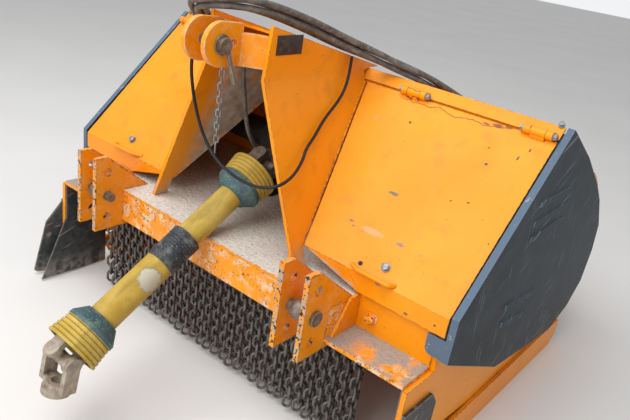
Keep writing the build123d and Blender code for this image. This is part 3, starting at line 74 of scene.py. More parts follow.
# %% Camera
HEADING, TILT, ROLL = radians(36.186), radians(23.6), radians(9.162)
CAMERA_PLACE = (1277.05, -1214.6, 1371.5)
SENSOR_WIDTH = 36
FOCAL_PIXELS, PICTURE_PIXELS = 662.8, 630
back = Vector((sin(HEADING) * cos(TILT), -cos(HEADING) * cos(TILT), sin(TILT)))
level = Vector((cos(HEADING), sin(HEADING), 0))
upward = back.cross(level)
image_right = cos(ROLL) * level + sin(ROLL) * upward
image_up = -sin(ROLL) * level + cos(ROLL) * upward
bpy.ops.object.camera_add()
camera = bpy.context.object
camera.data.sensor_width = SENSOR_WIDTH
camera.data.lens = FOCAL_PIXELS / PICTURE_PIXELS * SENSOR_WIDTH
camera.matrix_world = Matrix((image_right, image_up, back)).transposed().to_4x4()
camera.location = at(*CAMERA_PLACE)
bpy.context.scene.camera = camera
print("camera at", [round(v, 3) for v in camera.location])

# %% [markdown]
# ## Hoses and cable
# Four rubber hoses run from the left of the headstock over its top and down to a plate behind it. Each is
# one smooth curve along the points of its route, because a hose bends gently and has no corners. It is
# round: the bevel is a circle of one metre, and each point's own radius brings it down to the hose.

# %% A helper for cords
def lay_cord(name, points, diameter):
    curve = bpy.data.curves.new(name, "CURVE")
    curve.dimensions = "3D"
    curve.bevel_depth = 1.0
    curve.bevel_resolution = 4
    curve.resolution_u = 16
    curve.use_fill_caps = True
    spline = curve.splines.new("NURBS")
    spline.points.add(len(points) - 1)
    for control, (x, d, z) in zip(spline.points, points):
        control.co = (*at(x, d, z), 1)
        control.radius = diameter / 2
    spline.order_u = 3
    spline.use_endpoint_u = True
    piece = bpy.data.objects.new(name, curve)
    bpy.context.scene.collection.objects.link(piece)
    return piece


# %% Hydraulic hoses
HOSE_ROUTES = {
    "hose_low_inner": [
        (-170.5, 156.1, 989.3), (-167.6, 130.3, 1046.7), (-151.1, 83.9, 1090.8), (-109.6, 35.7, 1118.4),
        (-64.4, 25, 1128.4), (-24.3, 51.9, 1130.5), (9.8, 104.9, 1125.9), (39.3, 176.2, 1107.2),
        (69.1, 263.8, 1078.7), (94.2, 382.5, 1038), (140.2, 486.7, 1008.3), (202.3, 552.5, 983.8),
        (273.6, 607.8, 959.4), (323.5, 675.9, 911.5), (341.1, 738, 876.2), (341.3, 798.8, 857.9),
    ],
    "hose_low_outer": [
        (-177.5, 135.9, 980.7), (-180.4, 113.7, 1037.3), (-164.9, 68.1, 1081.2), (-118.4, 16.3, 1109.6),
        (-59.6, 3, 1123.6), (-7.7, 36.1, 1131.5), (30.2, 95.1, 1130.1), (60.7, 169.8, 1112.8),
        (90.9, 260.2, 1085.3), (115.8, 377.5, 1044), (159.8, 475.3, 1011.7), (217.7, 535.5, 984.2),
        (290.4, 592.2, 960.6), (344.5, 668.1, 916.5), (362.9, 738, 883.8), (362.7, 801.2, 866.1),
    ],
    "hose_high_inner": [
        (-193.1, 151.6, 987.4), (-190.4, 130, 1050.2), (-171.3, 78.7, 1100.7), (-123.5, 22.4, 1131.2),
        (-64.5, 9.2, 1145.3), (-16.9, 44.4, 1151), (18, 104.2, 1147.5), (47, 179.4, 1128.7),
        (75.7, 269.2, 1100.2), (101.5, 387.2, 1059.3), (150.3, 487.4, 1029), (213.8, 547.8, 1003.3),
        (286.3, 606, 978.6), (333.6, 682.2, 931.2), (345.9, 745.9, 897.3), (344.6, 805.2, 879.8),
    ],
    "hose_high_outer": [
        (-200, 131.4, 978.9), (-203.2, 113.4, 1040.7), (-185.1, 62.9, 1091.1), (-132.3, 3.1, 1122.4),
        (-59.6, -12.8, 1140.4), (-0.3, 28.5, 1152), (38.4, 94.4, 1151.7), (68.4, 173.1, 1134.3),
        (97.5, 265.6, 1106.7), (123.1, 382.3, 1065.4), (170, 476, 1032.4), (229.3, 530.8, 1003.6),
        (303.1, 590.4, 979.8), (354.7, 674.4, 936.3), (367.6, 745.9, 904.9), (365.9, 807.6, 888),
    ],
}
hoses = []
for name, points in HOSE_ROUTES.items():
    hose = lay_cord(name + "_smooth", points, 0.018)
    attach(hose, "frame")
    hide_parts(name)
    hoses.append(hose)
print("hoses:", len(hoses))

# %% [markdown]
# A thin cable hangs in a wide loop in front of the tunnel, and a short hose runs from under the headstock
# down to the gearbox. They are made as the hoses are, each along its own route.

# %% Cable and tunnel hose
CABLE_POINTS = [
    (-56, -36, 1031.6), (-57, -44, 985), (-57, -30, 900), (-50, -6, 812), (-18, 4, 750), (38, 4, 712),
    (108, 10, 692), (176, 12, 692), (234, 24, 710), (236, 84, 728), (215, 144, 759), (202, 167, 785),
    (190, 213, 810), (175, 265, 851), (158, 343, 889), (146, 387, 927), (132, 413, 971), (131, 413, 1012),
]
cable = lay_cord("cable_loop_smooth", CABLE_POINTS, 0.009)
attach(cable, "frame")
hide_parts("cable_loop")

TUNNEL_POINTS = [
    (-62, 158, 986.5), (-63, 162, 925), (-80, 195, 860), (-84, 214, 785), (-80, 240, 715), (-78, 294, 657),
    (-78, 371.4, 655),
]
tunnel_hose = lay_cord("tunnel_hose_smooth", TUNNEL_POINTS, 0.014)
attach(tunnel_hose, "frame")
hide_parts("tunnel_hose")
print("cable and tunnel hose laid")

# %% [markdown]
# ## Colours and nodes
# Colours are written as sRGB hex, as a paint card gives them, and turned to the linear values that
# shaders use. One function adds a node with its settings and links. Patterns read object coordinates,
# which are metres here, so a pattern of 4 mm has a scale of 1 / 0.004.

# %% Helpers for materials
def colour(hex_text):
    parts = [int(hex_text[i:i + 2], 16) / 255 for i in (1, 3, 5)]
    linear = [c / 12.92 if c <= 0.04045 else ((c + 0.055) / 1.055) ** 2.4 for c in parts]
    return (*linear, 1)


def add_node(owner, kind, values=(), **settings):
    made = owner.node_tree.nodes.new("ShaderNode" + kind)
    for word, value in settings.items():
        setattr(made, word, value)
    for key, value in dict(values).items():
        if isinstance(value, bpy.types.NodeSocket):
            owner.node_tree.links.new(value, made.inputs[key])
        else:
            made.inputs[key].default_value = value
    return made


def start_material(name, metallic=0.0, ior=1.5, coat=0.0, coat_roughness=0.2, specular=0.5):
    material = bpy.data.materials.new(name)
    material.use_nodes = True
    shader = material.node_tree.nodes["Principled BSDF"]
    start = {"Metallic": metallic, "IOR": ior, "Specular IOR Level": specular, "Coat Weight": coat,
             "Coat Roughness": coat_roughness}
    for word, value in start.items():
        shader.inputs[word].default_value = value
    return material, shader


print("orange in linear light:", [round(part, 3) for part in colour("#f08d00")])

# %% [markdown]
# Most finishes here are built from the same few marks: blotches, specks, dust that settles on what faces
# up, and bare metal where edges get knocked. Each mark is a mask from 0 to 1. Where two masks have to
# meet they are multiplied, where one of them is enough the larger counts, and a colour is laid over the
# last one wherever all its masks meet.

# %% Masks and layers
def overlap(material, *masks):
    shared = masks[0]
    for mask in masks[1:]:
        shared = add_node(material, "Math", {0: shared, 1: mask}, operation="MULTIPLY").outputs[0]
    return shared


def union(material, *masks):
    whole = masks[0]
    for mask in masks[1:]:
        whole = add_node(material, "Math", {0: whole, 1: mask}, operation="MAXIMUM").outputs[0]
    return whole


def layer(material, under, over, *masks):
    under, over = [colour(tone) if isinstance(tone, str) else tone for tone in (under, over)]
    share = overlap(material, *masks)
    return add_node(material, "Mix", {0: share, 6: under, 7: over}, data_type="RGBA").outputs[2]


# %% Masks from noise, edges and corners
def noise_mask(material, size, low, high, detail=4.0, stretch=(1, 1, 1), shift=0.0, turn=0.0):
    where = add_node(material, "TexCoord")
    turned = add_node(material, "Mapping", {"Vector": where.outputs["Object"],
                                            "Rotation": (radians(turn), 0, 0)})
    scaled = add_node(material, "Mapping", {"Vector": turned.outputs[0], "Scale": stretch,
                                            "Location": (shift, shift * 0.7, shift * 1.3)})
    noise = add_node(material, "TexNoise", {"Vector": scaled.outputs[0], "Scale": 1 / size, "Detail": detail})
    mask = add_node(material, "MapRange", {"Value": noise.outputs[0], "From Min": low, "From Max": high})
    return mask.outputs[0]


def edge_band(material, radius, low=0.02, high=0.12):
    shape = add_node(material, "NewGeometry")
    rounded = add_node(material, "Bevel", {"Radius": radius}, samples=4)
    same = add_node(material, "VectorMath", {0: rounded.outputs[0], 1: shape.outputs["Normal"]},
                    operation="DOT_PRODUCT")
    return add_node(material, "MapRange", {"Value": same.outputs["Value"], "From Min": 1 - low,
                                           "From Max": 1 - high}).outputs[0]


def corners(material, distance):
    shade = add_node(material, "AmbientOcclusion", {"Distance": distance}, samples=4)
    return add_node(material, "MapRange", {"Value": shade.outputs["AO"], "From Min": 0.75,
                                           "From Max": 0.35}).outputs[0]


# %% Masks from a direction or a place
RIGHT, REAR, UP = range(3)
ROUND = (1, 1, 1)


def facing(material, axis, low, high):
    shape = add_node(material, "NewGeometry")
    normal = add_node(material, "SeparateXYZ", {0: shape.outputs["Normal"]})
    return add_node(material, "MapRange", {"Value": normal.outputs[axis], "From Min": low,
                                           "From Max": high}).outputs[0]


def by_place(material, axis, low, high):
    where = add_node(material, "TexCoord")
    place = add_node(material, "SeparateXYZ", {0: where.outputs["Object"]})
    return add_node(material, "MapRange", {"Value": place.outputs[axis], "From Min": low / 1000,
                                           "From Max": high / 1000}).outputs[0]


def spot(material, x, d, z, radius, stretch=ROUND, ragged=0.5):
    metres = radius / 1000
    where = add_node(material, "TexCoord").outputs["Object"]
    off = add_node(material, "VectorMath", {0: where, 1: at(x, d, z)}, operation="SUBTRACT")
    scaled = add_node(material, "VectorMath", {0: off.outputs[0], 1: stretch}, operation="MULTIPLY")
    away = add_node(material, "VectorMath", {0: scaled.outputs[0]}, operation="LENGTH")
    rim = add_node(material, "TexNoise", {"Vector": where, "Scale": 3 / metres, "Detail": 5.0})
    uneven = add_node(material, "MapRange", {"Value": rim.outputs[0], "From Min": 0.3, "From Max": 0.7,
                                             "To Min": -ragged * metres, "To Max": ragged * metres})
    reach = add_node(material, "Math", {0: away.outputs["Value"], 1: uneven.outputs[0]}, operation="ADD")
    return add_node(material, "MapRange", {"Value": reach.outputs[0], "From Min": metres,
                                           "From Max": metres * 0.85}).outputs[0]


# %% The last step of every material
def finish(material, shader, tint, rough_mask, rough, bump_mask=None, bump=0.0002, strength=0.5, bent=None):
    link = material.node_tree.links.new
    link(tint, shader.inputs["Base Color"])
    if rough_mask is None:
        shader.inputs["Roughness"].default_value = rough[0]
    else:
        spread = add_node(material, "MapRange", {"Value": rough_mask, "To Min": rough[0], "To Max": rough[1]})
        link(spread.outputs[0], shader.inputs["Roughness"])
    if bump_mask is not None:
        relief = add_node(material, "Bump", {"Height": bump_mask, "Distance": bump, "Strength": strength})
        if bent is not None:
            link(bent, relief.inputs["Normal"])
        link(relief.outputs[0], shader.inputs["Normal"])
    return material


print("helpers for finishes are ready")

# %% [markdown]
# ## Orange enamel
# The plates are mild steel, sprayed with an alkyd enamel and used outdoors. To the eye that is a deep
# orange with a soft gloss, a thin film of stone dust on what faces up, fine rust specks, and edges where
# the paint is knocked off to brown steel. One function makes it, with switches for the places that are
# dirtier or more knocked.

# %% Orange enamel
def orange_enamel(name, dust=0.12, edge=0.004, chip="#4a4038", inner=False, floor=False, marks=(), knocks=0.0,
                  rim=False):
    material, shader = start_material(name, ior=1.45, coat=0.08, coat_roughness=0.3, specular=0.35)
    tint = layer(material, "#f08d00", "#f89c06", noise_mask(material, 0.35, 0.35, 0.7, detail=3))
    grime = noise_mask(material, 0.06, 0.55, 0.75, detail=8, shift=2.0)
    tint = layer(material, tint, "#c8781c", grime, 0.45)
    film = overlap(material, facing(material, UP, 0.1, 1.0), noise_mask(material, 0.14, 0.3, 0.62, detail=10))
    tint = layer(material, tint, "#dcae74", film, dust)
    for size, low, shift in ((0.009, 0.71, 5.0), (0.0035, 0.72, 9.0)):
        rust = noise_mask(material, size, low, low + 0.03, detail=5, shift=shift)
        tint = layer(material, tint, "#6b4221", rust)
    chips = overlap(material, edge_band(material, edge), noise_mask(material, 0.012, 0.42, 0.56, detail=6))
    tint = layer(material, tint, chip, chips)
    if knocks:
        clusters = noise_mask(material, 0.06, 0.36, 0.54, detail=4, shift=11.0)
        scuffs = noise_mask(material, 0.025, 0.46, 0.58, detail=9, shift=12.0)
        tint = layer(material, tint, "#e2c6a4", scuffs, clusters, knocks)
        holes = noise_mask(material, 0.006, 0.585, 0.61, detail=5, shift=13.0)
        tint = layer(material, tint, "#33271b", holes, clusters, knocks)
    if rim:
        tint, chips = knocked_rim(material, tint)
    rough = union(material, film, chips)
    bent = None
    if inner:
        tint, rough = inside_dirt(material, tint, rough)
        bent = soft_bend(material)
    height = noise_mask(material, 0.004, 0.3, 0.7, detail=3)
    bump, strength = 0.00012, 0.4
    if floor:
        tint, rough, height = floor_dust(material, tint, rough)
        bump, strength = 0.0018, 0.9
    for x, d, z, radius, stretch, tone, share in marks:
        tint = layer(material, tint, tone, spot(material, x, d, z, radius * MARK_SIZE, stretch), share)
    if marks:
        tint = layer(material, tint, "#6d4020", hinge_crack(material))
    return finish(material, shader, tint, rough, (0.36, 0.8), height, bump, strength, bent)


# %% [markdown]
# Plates that carry the tractor's links are knocked at every coupling. Their edges show scoured steel with
# black spots of scale in it, in a band as wide as the plate is thick.

# %% Knocked rims
def knocked_rim(material, tint):
    front = facing(material, REAR, -0.7, -0.95)
    band = union(material, edge_band(material, 0.008, 0.03, 0.14), front)
    pale = overlap(material, band, noise_mask(material, 0.02, 0.47, 0.55, detail=10, shift=14.0))
    tint = layer(material, tint, "#aa9d8a", pale)
    wide_band = union(material, edge_band(material, 0.011, 0.01, 0.06), front)
    spots = noise_mask(material, 0.01, 0.55, 0.59, detail=7, shift=15.0)
    return layer(material, tint, "#2a241f", wide_band, spots), pale


# %% [markdown]
# The headstock's inner faces and the floor between its plates take all the dust and grease that the
# driveline throws. There the paint is nearly hidden: a crust of pale stone dust lies on the floor, and
# grey mottled dirt clings to the plates. A face looks inwards where the signs of its normal and its place
# differ.

# %% Dirt inside the tunnel
def inside_dirt(material, tint, rough):
    shape = add_node(material, "NewGeometry")
    normal = add_node(material, "SeparateXYZ", {0: shape.outputs["Normal"]})
    where = add_node(material, "TexCoord")
    place = add_node(material, "SeparateXYZ", {0: where.outputs["Object"]})
    signs = overlap(material, normal.outputs[RIGHT], place.outputs[RIGHT])
    inward = add_node(material, "MapRange", {"Value": signs, "From Min": -0.02, "From Max": -0.1}).outputs[0]
    mottled = noise_mask(material, 0.05, 0.3, 0.42, detail=10, shift=3.0)
    behind = by_place(material, REAR, BEAM_Y + 110, BEAM_Y + 190)
    cover = overlap(material, inward, mottled, behind, by_place(material, UP, 1020, 950))
    crust = layer(material, "#ab9c8b", "#d9cab6", noise_mask(material, 0.03, 0.35, 0.7, detail=10))
    tint = layer(material, tint, crust, cover)
    foot = noise_mask(material, 0.03, 0.42, 0.55, detail=9, shift=8.0)
    tint = layer(material, tint, "#c3ad92", by_place(material, UP, 560, 500), foot, 0.8)
    return tint, union(material, rough, cover)


# %% Dust on the floor and on the beam
def floor_dust(material, tint, rough):
    behind = by_place(material, REAR, BEAM_Y - 6, BEAM_Y + 12)
    ledge = by_place(material, UP, 460, 440)
    bare = overlap(material, ledge, noise_mask(material, 0.09, 0.5, 0.42, detail=5, shift=6.0),
                   by_place(material, RIGHT, 530, 590))
    dusty = add_node(material, "Math", {0: 1.0, 1: bare}, operation="SUBTRACT").outputs[0]
    ragged = noise_mask(material, 0.02, 0.3, 0.7, detail=8, shift=7.0)
    edge = add_node(material, "Math", {0: behind, 1: ragged}, operation="ADD").outputs[0]
    cover = add_node(material, "MapRange", {"Value": edge, "From Min": 0.7, "From Max": 0.9}).outputs[0]
    cover = overlap(material, cover, dusty, facing(material, UP, 0.5, 0.8))
    lumps = noise_mask(material, 0.012, 0.3, 0.7, detail=8, shift=1.0)
    crust = layer(material, "#c6beb4", "#e2dcd3", lumps)
    crust = layer(material, crust, "#8a7f72", noise_mask(material, 0.005, 0.62, 0.7, detail=4))
    crust = layer(material, crust, "#8b8176", ledge, 0.75)
    return layer(material, tint, crust, cover), union(material, rough, cover), overlap(material, lumps, cover)


# %% [markdown]
# The headstock plates are bent, and a bent plate has no crease: the surface turns over some 140 mm. The
# flat faces of the frame meet in a line there, so the shading is given the turning normal of the real
# bend.

# %% A soft bend in the headstock plates
BEND_Z, BEND_REACH, BEND_LEAN = 963.0, 70.0, 0.372


def soft_bend(material):
    shape = add_node(material, "NewGeometry")
    normal = add_node(material, "SeparateXYZ", {0: shape.outputs["Normal"]})
    where = add_node(material, "TexCoord")
    place = add_node(material, "SeparateXYZ", {0: where.outputs["Object"]})
    below = add_node(material, "MapRange", {"Value": place.outputs[UP], "To Max": BEND_LEAN,
                                            "From Min": (BEND_Z + BEND_REACH) / 1000,
                                            "From Max": (BEND_Z - BEND_REACH) / 1000},
                     interpolation_type="SMOOTHSTEP")
    signs = overlap(material, normal.outputs[RIGHT], place.outputs[RIGHT])
    side = add_node(material, "Math", {0: signs}, operation="SIGN").outputs[0]
    bent = add_node(material, "CombineXYZ", {0: normal.outputs[RIGHT], 1: normal.outputs[REAR],
                                             2: overlap(material, below.outputs[0], side)})
    upright = add_node(material, "Math", {0: normal.outputs[RIGHT]}, operation="ABSOLUTE").outputs[0]
    upright = add_node(material, "Math", {0: upright, 1: 0.85}, operation="GREATER_THAN").outputs[0]
    chosen = add_node(material, "Mix", {0: upright, 4: shape.outputs["Normal"], 5: bent.outputs[0]},
                      data_type="VECTOR")
    return add_node(material, "VectorMath", {0: chosen.outputs[1]}, operation="NORMALIZE").outputs[0]


# %% [markdown]
# The paint on the right cover has cracked along the fold below its hinges, and rust has crept out of the
# crack. It is a thin line whose depth wanders with a noise that reads only the place along the fold.

# %% A crack in the paint below the hinges
CRACK_FRONT, CRACK_REAR = 488, 506
CRACK_WIDE, CRACK_SHARP = 0.0013, 0.0006


def hinge_crack(material):
    where = add_node(material, "TexCoord")
    place = add_node(material, "SeparateXYZ", {0: where.outputs["Object"]})
    along = add_node(material, "CombineXYZ", {0: place.outputs[RIGHT]})
    wander = add_node(material, "TexNoise", {"Vector": along.outputs[0], "Scale": 14.0, "Detail": 6.0})
    line = add_node(material, "MapRange", {"Value": wander.outputs[0], "From Min": 0.3, "From Max": 0.7,
                                           "To Min": (BEAM_Y + CRACK_FRONT) / 1000,
                                           "To Max": (BEAM_Y + CRACK_REAR) / 1000})
    off = add_node(material, "Math", {0: place.outputs[REAR], 1: line.outputs[0]}, operation="SUBTRACT")
    gap = add_node(material, "Math", {0: off.outputs[0]}, operation="ABSOLUTE")
    thin = add_node(material, "MapRange", {"Value": gap.outputs[0], "From Min": CRACK_WIDE,
                                           "From Max": CRACK_SHARP}).outputs[0]
    return overlap(material, thin, by_place(material, RIGHT, 250, 300), by_place(material, RIGHT, 640, 600))


# %% [markdown]
# Some marks have a known place: a ring of rust, a few knocks, and a black spot of painted shade where the
# right cover has a hole. They are kept in a table, with a stretch for marks that are long and thin. A ragged
# rim spreads past a mark's radius, so every radius is drawn at about two thirds.

# %% Marks in known places
MARK_SIZE = 0.68
COVER_MARKS = (
    # x, d, z, radius, stretch, colour, share
    (602, 450, 874, 24, ROUND, "#e5910f", 0.7), (602, 450, 874, 4, ROUND, "#3a2c1c", 1.0),
    (621, 415, 839, 7, ROUND, "#4d4a44", 1.0), (438, 284, 713, 15, (0.55, 1.2, 2.2), "#77705f", 1.0),
    (592, 316, 744, 4.5, ROUND, "#5b432a", 1.0), (637, 326, 753, 4, (0.6, 1, 1), "#5b432a", 1.0),
    (351, 446, 870, 7, ROUND, "#5f4a30", 1.0), (374, 196, 628, 9, (0.7, 1, 2), "#70634e", 0.9),
    (388, 188, 620, 6, (0.6, 1, 2), "#70634e", 0.9), (447, 193, 625, 18, (0.35, 1.3, 1.3), "#d9a47a", 0.7),
    (539, 193, 625, 11, (0.6, 1, 1.2), "#8a7a6c", 0.9), (603, 190, 623, 8, ROUND, "#b98054", 0.6),
    # The near-black spot at 471, 126, 560 is painted shade: the dark inside of a hole.
    (471, 126, 560, 11, ROUND, "#0c0a08", 1.0), (688, 449, 873, 7, (1.6, 0.6, 0.6), "#5b432a", 1.0),
    (705, 474, 896, 6, (1.6, 0.6, 0.6), "#5b432a", 1.0), (243, 433, 857, 9, (1, 0.6, 0.6), "#b39b79", 0.5),
    (311, 503, 925, 7, (0.5, 1, 1), "#8a3d18", 0.9), (556, 500, 921, 9, (0.5, 1.6, 1.6), "#8a3d18", 0.9),
    (590, 503, 925, 13, (0.5, 1.6, 1.6), "#7a3418", 0.9), (620, 507, 929, 9, (0.5, 1.3, 1.3), "#7a3418", 0.9),
    (322, 107, 531, 16, (0.5, 1, 1.5), "#b7a893", 0.8), (362, 107, 522, 15, (0.45, 1, 1.5), "#b7a893", 0.8),
    (405, 107, 513, 16, (0.45, 1, 1.4), "#b7a893", 0.8), (452, 107, 499, 17, (0.5, 1, 1.4), "#b7a893", 0.8),
    (641, 107, 499, 7, (0.7, 1, 1), "#6e5d4a", 0.9),
    (724, 107, 509, 5, ROUND, "#5b432a", 1.0), (545, 107, 540, 9, (0.6, 1, 1), "#857563", 0.9),
)

enamel = orange_enamel("orange_enamel")
enamel_inner = orange_enamel("orange_enamel_dirty_inside", inner=True)
enamel_floor = orange_enamel("orange_enamel_dusty_floor", floor=True)
enamel_beam = orange_enamel("orange_enamel_chipped", chip="#43342a", floor=True, knocks=0.85)
enamel_bracket = orange_enamel("orange_enamel_knocked", dust=0.2, knocks=0.15, rim=True)
enamel_top = orange_enamel("orange_enamel_rubbed", dust=0.2, edge=0.009, chip="#c9bba8", knocks=0.12)
enamel_marked = orange_enamel("orange_enamel_marked", marks=COVER_MARKS)
enamel_rusty = orange_enamel("orange_enamel_rusty_heads", edge=0.003, chip="#6b4221", knocks=1.0)
print("enamels:", enamel.name, enamel_inner.name, enamel_floor.name, enamel_beam.name, enamel_marked.name)

# %% [markdown]
# ## Grey enamel, iron and steel
# The belt covers carry a dark blue-grey enamel, dulled by fine scratches that run along the machine. The
# guide plates, the chains and the rotor are bare hot-rolled steel: brown where it rusts, grey where
# stones scour it. The yokes are forged, oily and stained, and the bolts are zinc plated.

# %% Grey enamel
def grey_enamel():
    material, shader = start_material("grey_enamel", ior=1.45, specular=0.18)
    tint = layer(material, "#232a30", "#2e373f", noise_mask(material, 0.3, 0.35, 0.7))
    # Painted light: faces that look forward are made a paler, bluer grey, as they look in the light from the
    # front.
    tint = layer(material, tint, "#5f7388", facing(material, REAR, -0.2, -0.5), 0.85)
    dust = overlap(material, noise_mask(material, 0.07, 0.48, 0.8, detail=8, shift=1.0), 0.3)
    tint = layer(material, tint, "#6a6f72", dust)
    lines = noise_mask(material, 0.02, 0.665, 0.7, detail=3, stretch=(1, 0.06, 1.8), shift=4.0, turn=-24)
    long_lines = noise_mask(material, 0.012, 0.69, 0.71, detail=2, stretch=(1, 2.4, 0.05), shift=3.0,
                            turn=-14)
    scuffs = union(material, lines, long_lines)
    tint = layer(material, tint, "#96a0a6", scuffs, 0.75)
    tint = layer(material, tint, "#8f8c86", noise_mask(material, 0.004, 0.7, 0.73, detail=4, shift=7.0), 0.8)
    # A pale band along every edge, unbroken: partly rubbed paint, partly a painted highlight along the ribs'
    # edges.
    tint = layer(material, tint, "#6f7d88", edge_band(material, 0.004), 0.6)
    splashes = noise_mask(material, 0.03, 0.5, 0.62, detail=8, shift=5.0)
    tint = layer(material, tint, "#7a6650", by_place(material, UP, 300, 120), splashes, 0.6)
    grain = noise_mask(material, 0.003, 0.3, 0.7, detail=3)
    return finish(material, shader, tint, union(material, scuffs, dust), (0.5, 0.75), grain, 0.0001, 0.4)


# %% Bare and forged iron
def bare_iron(name, dark, light, rust_tint, rust_share, metallic, edge_tint=None, edge=None, low_dust=None):
    material, shader = start_material(name, metallic=metallic)
    tint = layer(material, dark, light, noise_mask(material, 0.02, 0.35, 0.7, detail=8))
    rust = noise_mask(material, 0.035, rust_share, rust_share + 0.12, detail=10, shift=6.0)
    tint = layer(material, tint, rust_tint, rust)
    if edge_tint:
        polish = noise_mask(material, 0.02, 0.3, 0.5)
        tint = layer(material, tint, edge_tint, edge_band(material, edge), polish)
    if low_dust:
        scraped = noise_mask(material, 0.03, 0.42, 0.56, detail=8, shift=8.0)
        tint = layer(material, tint, low_dust, by_place(material, UP, 90, 30), scraped, 0.8)
        lines = noise_mask(material, 0.015, 0.64, 0.68, detail=3, stretch=(1, 0.12, 1.6), shift=2.0, turn=-20)
        tint = layer(material, tint, low_dust, lines, 0.7)
    pits = noise_mask(material, 0.003, 0.3, 0.7, detail=5)
    return finish(material, shader, tint, rust, (0.5, 0.85), pits, 0.0004, 0.6)


grey = grey_enamel()
guide_iron = bare_iron("hot_rolled_steel_guides", "#26282a", "#3d4042", "#4d4137", 0.6, 0.2, "#8f877b", 0.007,
                       "#857f76")
chain_iron = bare_iron("chain_iron", "#4b4642", "#76706a", "#6b4a33", 0.6, 0.25)
rotor_iron = bare_iron("rotor_steel", "#4a443e", "#7d766c", "#6d4a30", 0.5, 0.4, "#b0aaa0", 0.006)
oily_iron = bare_iron("forged_steel_oily", "#5c544b", "#8d8478", "#6e5238", 0.58, 0.5, "#b9b1a6", 0.003)
muddy_iron = bare_iron("forged_steel_muddy", "#8a7b6a", "#b5a695", "#6a5640", 0.6, 0.05, "#8f8a80", 0.004)
# The gearbox and the cross shafts are made near black, darker than the grey paint that the frame gives the
# shafts.
near_black_iron = bare_iron("forged_steel_near_black", "#14120f", "#211e1b", "#2e2620", 0.6, 0.1)
print("metals:", grey.name, guide_iron.name, chain_iron.name, rotor_iron.name, oily_iron.name)

# %% [markdown]
# Bolts are zinc plated and dull, with brown stains. The piston rods are hard chrome, ground and nearly a
# mirror. Both are a metal with one stain over it, so one small function makes them.

# %% Zinc and chrome
def plated(name, base, roughness, stain, metallic=0.9):
    material, shader = start_material(name, metallic=metallic)
    tint = layer(material, base, stain, noise_mask(material, 0.012, 0.5, 0.8, detail=8))
    return finish(material, shader, tint, noise_mask(material, 0.01, 0.4, 0.7), (roughness, roughness + 0.25))


zinc = plated("zinc_plated_steel", "#8f9497", 0.45, "#6b645b")
dull_zinc = plated("galvanised_chain", "#8f9192", 0.55, "#6b6156", 0.4)
chrome = plated("hard_chrome", "#c9cacc", 0.12, "#a5a5a4")
print("plated metals:", zinc.name, dull_zinc.name, chrome.name)

# %% [markdown]
# ## Plastic guards and rubber
# The driveline's guard is blow-moulded polyethylene: yellow tubes and bells, blue-green collars and a
# black sleeve. The plastic is matt, faded by the sun and soiled in its grooves, and its smears run along
# the shaft. A pale patch of torn paper clings to the outer tube. The hoses are rubber that stone dust has
# turned grey.

# %% Plastic and rubber
DRIVE_ANGLE = 30.9
LABEL_PATCH = (34, -213, 415, 34, "#b8b29e")


def soiled_plastic(name, base, faded, dirt_tint, dirt, groove=0.01, size=0.05, along=1.0, flecks=None,
                   fleck_share=0.6, label=None):
    material, shader = start_material(name, ior=1.45, specular=0.35)
    tint = layer(material, base, faded, noise_mask(material, size, 0.35, 0.68, detail=5))
    smear = noise_mask(material, size * 0.6, 0.52, 0.68, detail=9, stretch=(1, along, 1), shift=2.5,
                       turn=-DRIVE_ANGLE)
    tint = layer(material, tint, dirt_tint, smear, dirt)
    tint = layer(material, tint, dirt_tint, corners(material, groove), 0.8)
    tint = layer(material, tint, dirt_tint, noise_mask(material, 0.004, 0.64, 0.7, detail=3), 0.7)
    if flecks:
        bright = noise_mask(material, 0.005, fleck_share, fleck_share + 0.04, detail=3, shift=5.5)
        tint = layer(material, tint, flecks, bright, 0.75)
    if label:
        x, d, z, radius, paper = label
        for reach, tone in ((radius + 3, "#8d8150"), (radius, paper)):
            tint = layer(material, tint, tone, spot(material, x, d, z, reach, ragged=0.14))
    grain = noise_mask(material, 0.002, 0.3, 0.7, detail=2)
    return finish(material, shader, tint, smear, (0.5, 0.78), grain, 0.0001, 0.4)


guard_yellow = soiled_plastic("polyethylene_yellow", "#b59537", "#c9ad58", "#7b6a35", 0.5, along=0.25)
guard_labelled = soiled_plastic("polyethylene_yellow_labelled", "#b18f33", "#c4a64f", "#7b6a35", 0.5,
                                along=0.25, label=LABEL_PATCH)
guard_teal = soiled_plastic("polyethylene_blue_green", "#344c56", "#4b6168", "#8f9a80", 0.45,
                            flecks="#5f9a6a")
guard_black = soiled_plastic("polyethylene_black", "#24282c", "#3b4147", "#8a8880", 0.45, flecks="#9b9a95",
                             fleck_share=0.66)
dusty_rubber = soiled_plastic("hose_rubber_dusty", "#4b4845", "#716c67", "#938c84", 0.6, 0.004, 0.03)
clean_rubber = soiled_plastic("cable_rubber", "#141517", "#1f2022", "#3d3b38", 0.2, 0.003, 0.03)
print("plastics:", guard_yellow.name, guard_teal.name, guard_black.name)

# %% [markdown]
# Each CAD node gets the finish of the real piece. A node keeps its own material slots, and the finish is
# put into them. Most nodes go by the slot that the frame gives them, and a few have a finish of their
# own.

